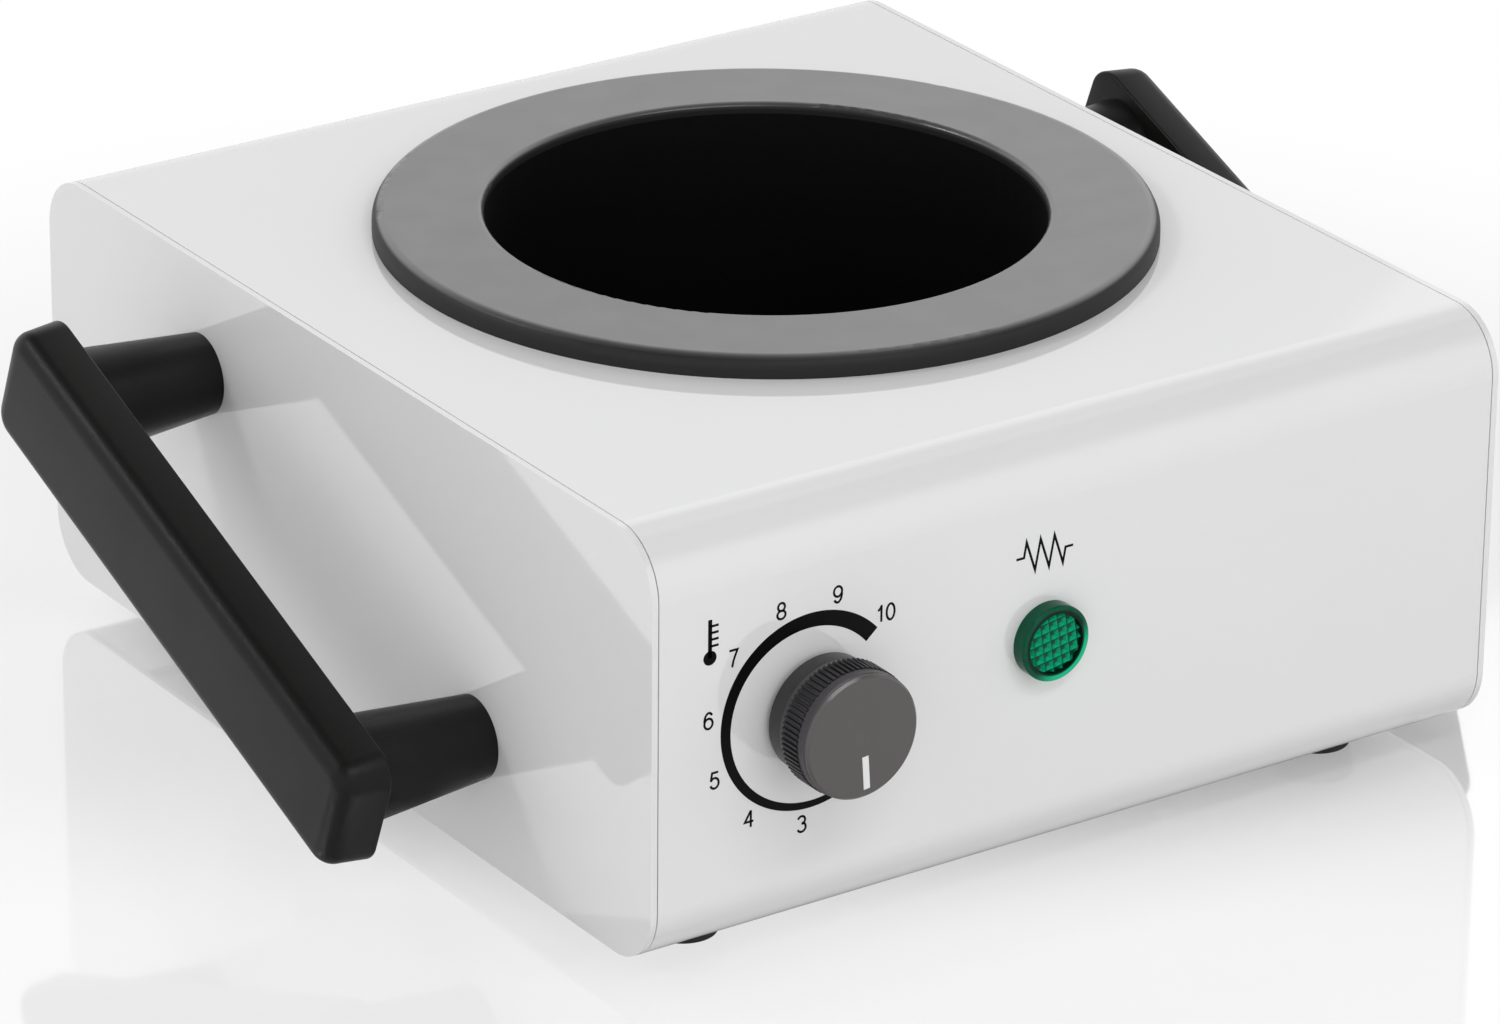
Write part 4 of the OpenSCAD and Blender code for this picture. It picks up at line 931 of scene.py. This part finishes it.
class WARMER_OT_studio(bpy.types.Operator):
    """Sets the camera, the pale glossy table and the soft lamps"""

    bl_idname = "warmer.studio"
    bl_label = "Studio"

    def camera(self, studio):
        """The camera looks along its own back axis, from a distance, past the aim."""
        az, el, roll = studio.azimuth, studio.elevation, studio.roll
        back = np.array([math.sin(az) * math.cos(el), -math.cos(az) * math.cos(el), math.sin(el)])
        level = np.array([math.cos(az), math.sin(az), 0.0])
        upright = np.cross(back, level)
        right = math.cos(roll) * level + math.sin(roll) * upright
        up = math.cos(roll) * upright - math.sin(roll) * level
        place = np.array([0, 0, studio.aim_height]) + back * studio.distance
        place = place - right * studio.pan_left - up * studio.pan_down
        data = bpy.data.cameras.new("photo_view")
        data.lens = studio.focal
        data.sensor_width = SENSOR_WIDTH
        data.clip_end = CAMERA_REACH
        view = bpy.data.objects.new("photo_view", data)
        turn = Matrix(np.column_stack([right, up, back]).tolist()).to_4x4()
        view.matrix_world = Matrix.Translation(place.tolist()) @ turn
        bpy.context.scene.collection.objects.link(view)
        bpy.context.scene.camera = view

    def table(self, studio):
        """A round pale table top, polished enough to mirror the housing. The camera sees it fade to plain
        white with the distance from its middle, and brighten towards the front."""
        turn = np.linspace(0, 2 * np.pi, TABLE_STEPS, endpoint=False)
        disc = TABLE_RADIUS * np.stack([np.cos(turn), np.sin(turn), np.zeros_like(turn)], -1)
        mesh = bpy.data.meshes.new("table_top")
        mesh.from_pydata(disc.tolist(), [], [list(range(turn.size))])
        f = Finish("table_white")
        grain = f.noise(f.place(), size=1.2 * MM, detail=2.0)
        here = f.place(turn=(0, 0, -studio.azimuth))
        far = f.step(f.radius(here, 0, 1), studio.glow_near, studio.glow_far)
        near = f.step(0 - f.part(here, 1), studio.front_near, studio.front_far)
        glow = studio.glow + near * (studio.front_glow - studio.glow)
        plain = f.seen() * (glow + far * (1 - glow))
        f.cover(plain, "ShaderNodeEmission", {"Color": (1, 1, 1), "Strength": 1.0})
        white_top = f.done(base_color=studio.table, metallic=0.45, roughness=0.04 + grain * 0.03)
        mesh.materials.append(white_top)
        top = bpy.data.objects.new("table_top", mesh)
        bpy.context.scene.collection.objects.link(top)

    def lamp(self, name, softbox, watts):
        """A soft rectangular lamp that points at the softboxes' aim. Its width runs square to the way to the
        rear."""
        place, (width, height) = softbox
        data = bpy.data.lights.new(name, "AREA")
        data.shape = "RECTANGLE"
        data.size = width
        data.size_y = height
        data.energy = watts
        lamp = bpy.data.objects.new(name, data)
        back = np.array(place) - np.array(SOFTBOX_AIM)
        back /= np.linalg.norm(back)
        nearly_rear = [0.0, 1.0, 0.001]
        side = np.cross(nearly_rear, back)
        side /= np.linalg.norm(side)
        turn = Matrix(np.column_stack([side, np.cross(back, side), back]).tolist()).to_4x4()
        lamp.matrix_world = Matrix.Translation(place) @ turn
        bpy.context.scene.collection.objects.link(lamp)

    def surroundings(self, studio):
        """A dim room with low lit walls: a bright backdrop behind the warmer and softer screens in front,
        which change over along a slanting line and end below the ceiling. The camera itself sees plain
        white."""
        world = bpy.data.worlds.new("studio_white")
        bpy.context.scene.world = world
        world.use_nodes = True
        s = Shade(world.node_tree)
        way = s.add("ShaderNodeTexCoord", None, None, "Generated")
        slant = 0.6
        change_over = (-0.3, 0.5)
        wall_top = (0.5, 0.75)
        behind = s.step(s.part(way, 1) - s.part(way, 0) * slant, *change_over)
        low = 1 - s.step(s.part(way, 2), *wall_top)
        walls = studio.screens + behind * (studio.backdrop - studio.screens)
        room = studio.fill + low * (walls - studio.fill)
        seen = s.seen()
        background = s.tree.nodes["Background"]
        s.put(background.inputs["Color"], (1, 1, 1))
        s.put(background.inputs["Strength"], seen + (1 - seen) * room)

    def execute(self, context):
        studio = context.scene.warmer_studio
        context.scene.view_settings.view_transform = "Standard"
        self.camera(studio)
        self.table(studio)
        self.surroundings(studio)
        self.lamp("rear_softbox", REAR_SOFTBOX, studio.rear)
        self.lamp("right_softbox", RIGHT_SOFTBOX, studio.right)
        self.lamp("front_softbox", FRONT_SOFTBOX, studio.front)
        return {"FINISHED"}


class WARMER_PT_panel(bpy.types.Panel):
    """Lists the warmer's pieces, sizes and colours"""

    bl_idname = "WARMER_PT_panel"
    bl_label = "Wax warmer"
    bl_space_type = "VIEW_3D"
    bl_region_type = "UI"
    bl_category = "Warmer"

    def draw(self, context):
        layout = self.layout
        for operator in OPERATORS:
            layout.operator(operator.bl_idname)
        for group in (context.scene.warmer_sizes, context.scene.warmer_colours, context.scene.warmer_studio):
            box = layout.box()
            for key in group.__annotations__:
                box.prop(group, key)


OPERATORS = (
    WARMER_OT_housing,
    WARMER_OT_well,
    WARMER_OT_handles,
    WARMER_OT_knob,
    WARMER_OT_pilot_lamp,
    WARMER_OT_dial_marks,
    WARMER_OT_inner_works,
    WARMER_OT_studio,
)
CLASSES = (WarmerSizes, WarmerColours, WarmerStudio, *OPERATORS, WARMER_PT_panel)


def register():
    for entry in CLASSES:
        bpy.utils.register_class(entry)
    bpy.types.Scene.warmer_sizes = bpy.props.PointerProperty(type=WarmerSizes)
    bpy.types.Scene.warmer_colours = bpy.props.PointerProperty(type=WarmerColours)
    bpy.types.Scene.warmer_studio = bpy.props.PointerProperty(type=WarmerStudio)


def unregister():
    del bpy.types.Scene.warmer_studio
    del bpy.types.Scene.warmer_colours
    del bpy.types.Scene.warmer_sizes
    for entry in reversed(CLASSES):
        bpy.utils.unregister_class(entry)


def main():
    """Builds every piece in order."""
    register()
    bpy.ops.warmer.housing()
    bpy.ops.warmer.well()
    bpy.ops.warmer.handles()
    bpy.ops.warmer.knob()
    bpy.ops.warmer.pilot_lamp()
    bpy.ops.warmer.dial_marks()
    bpy.ops.warmer.inner_works()
    bpy.ops.warmer.studio()


if __name__ == "__main__":
    main()
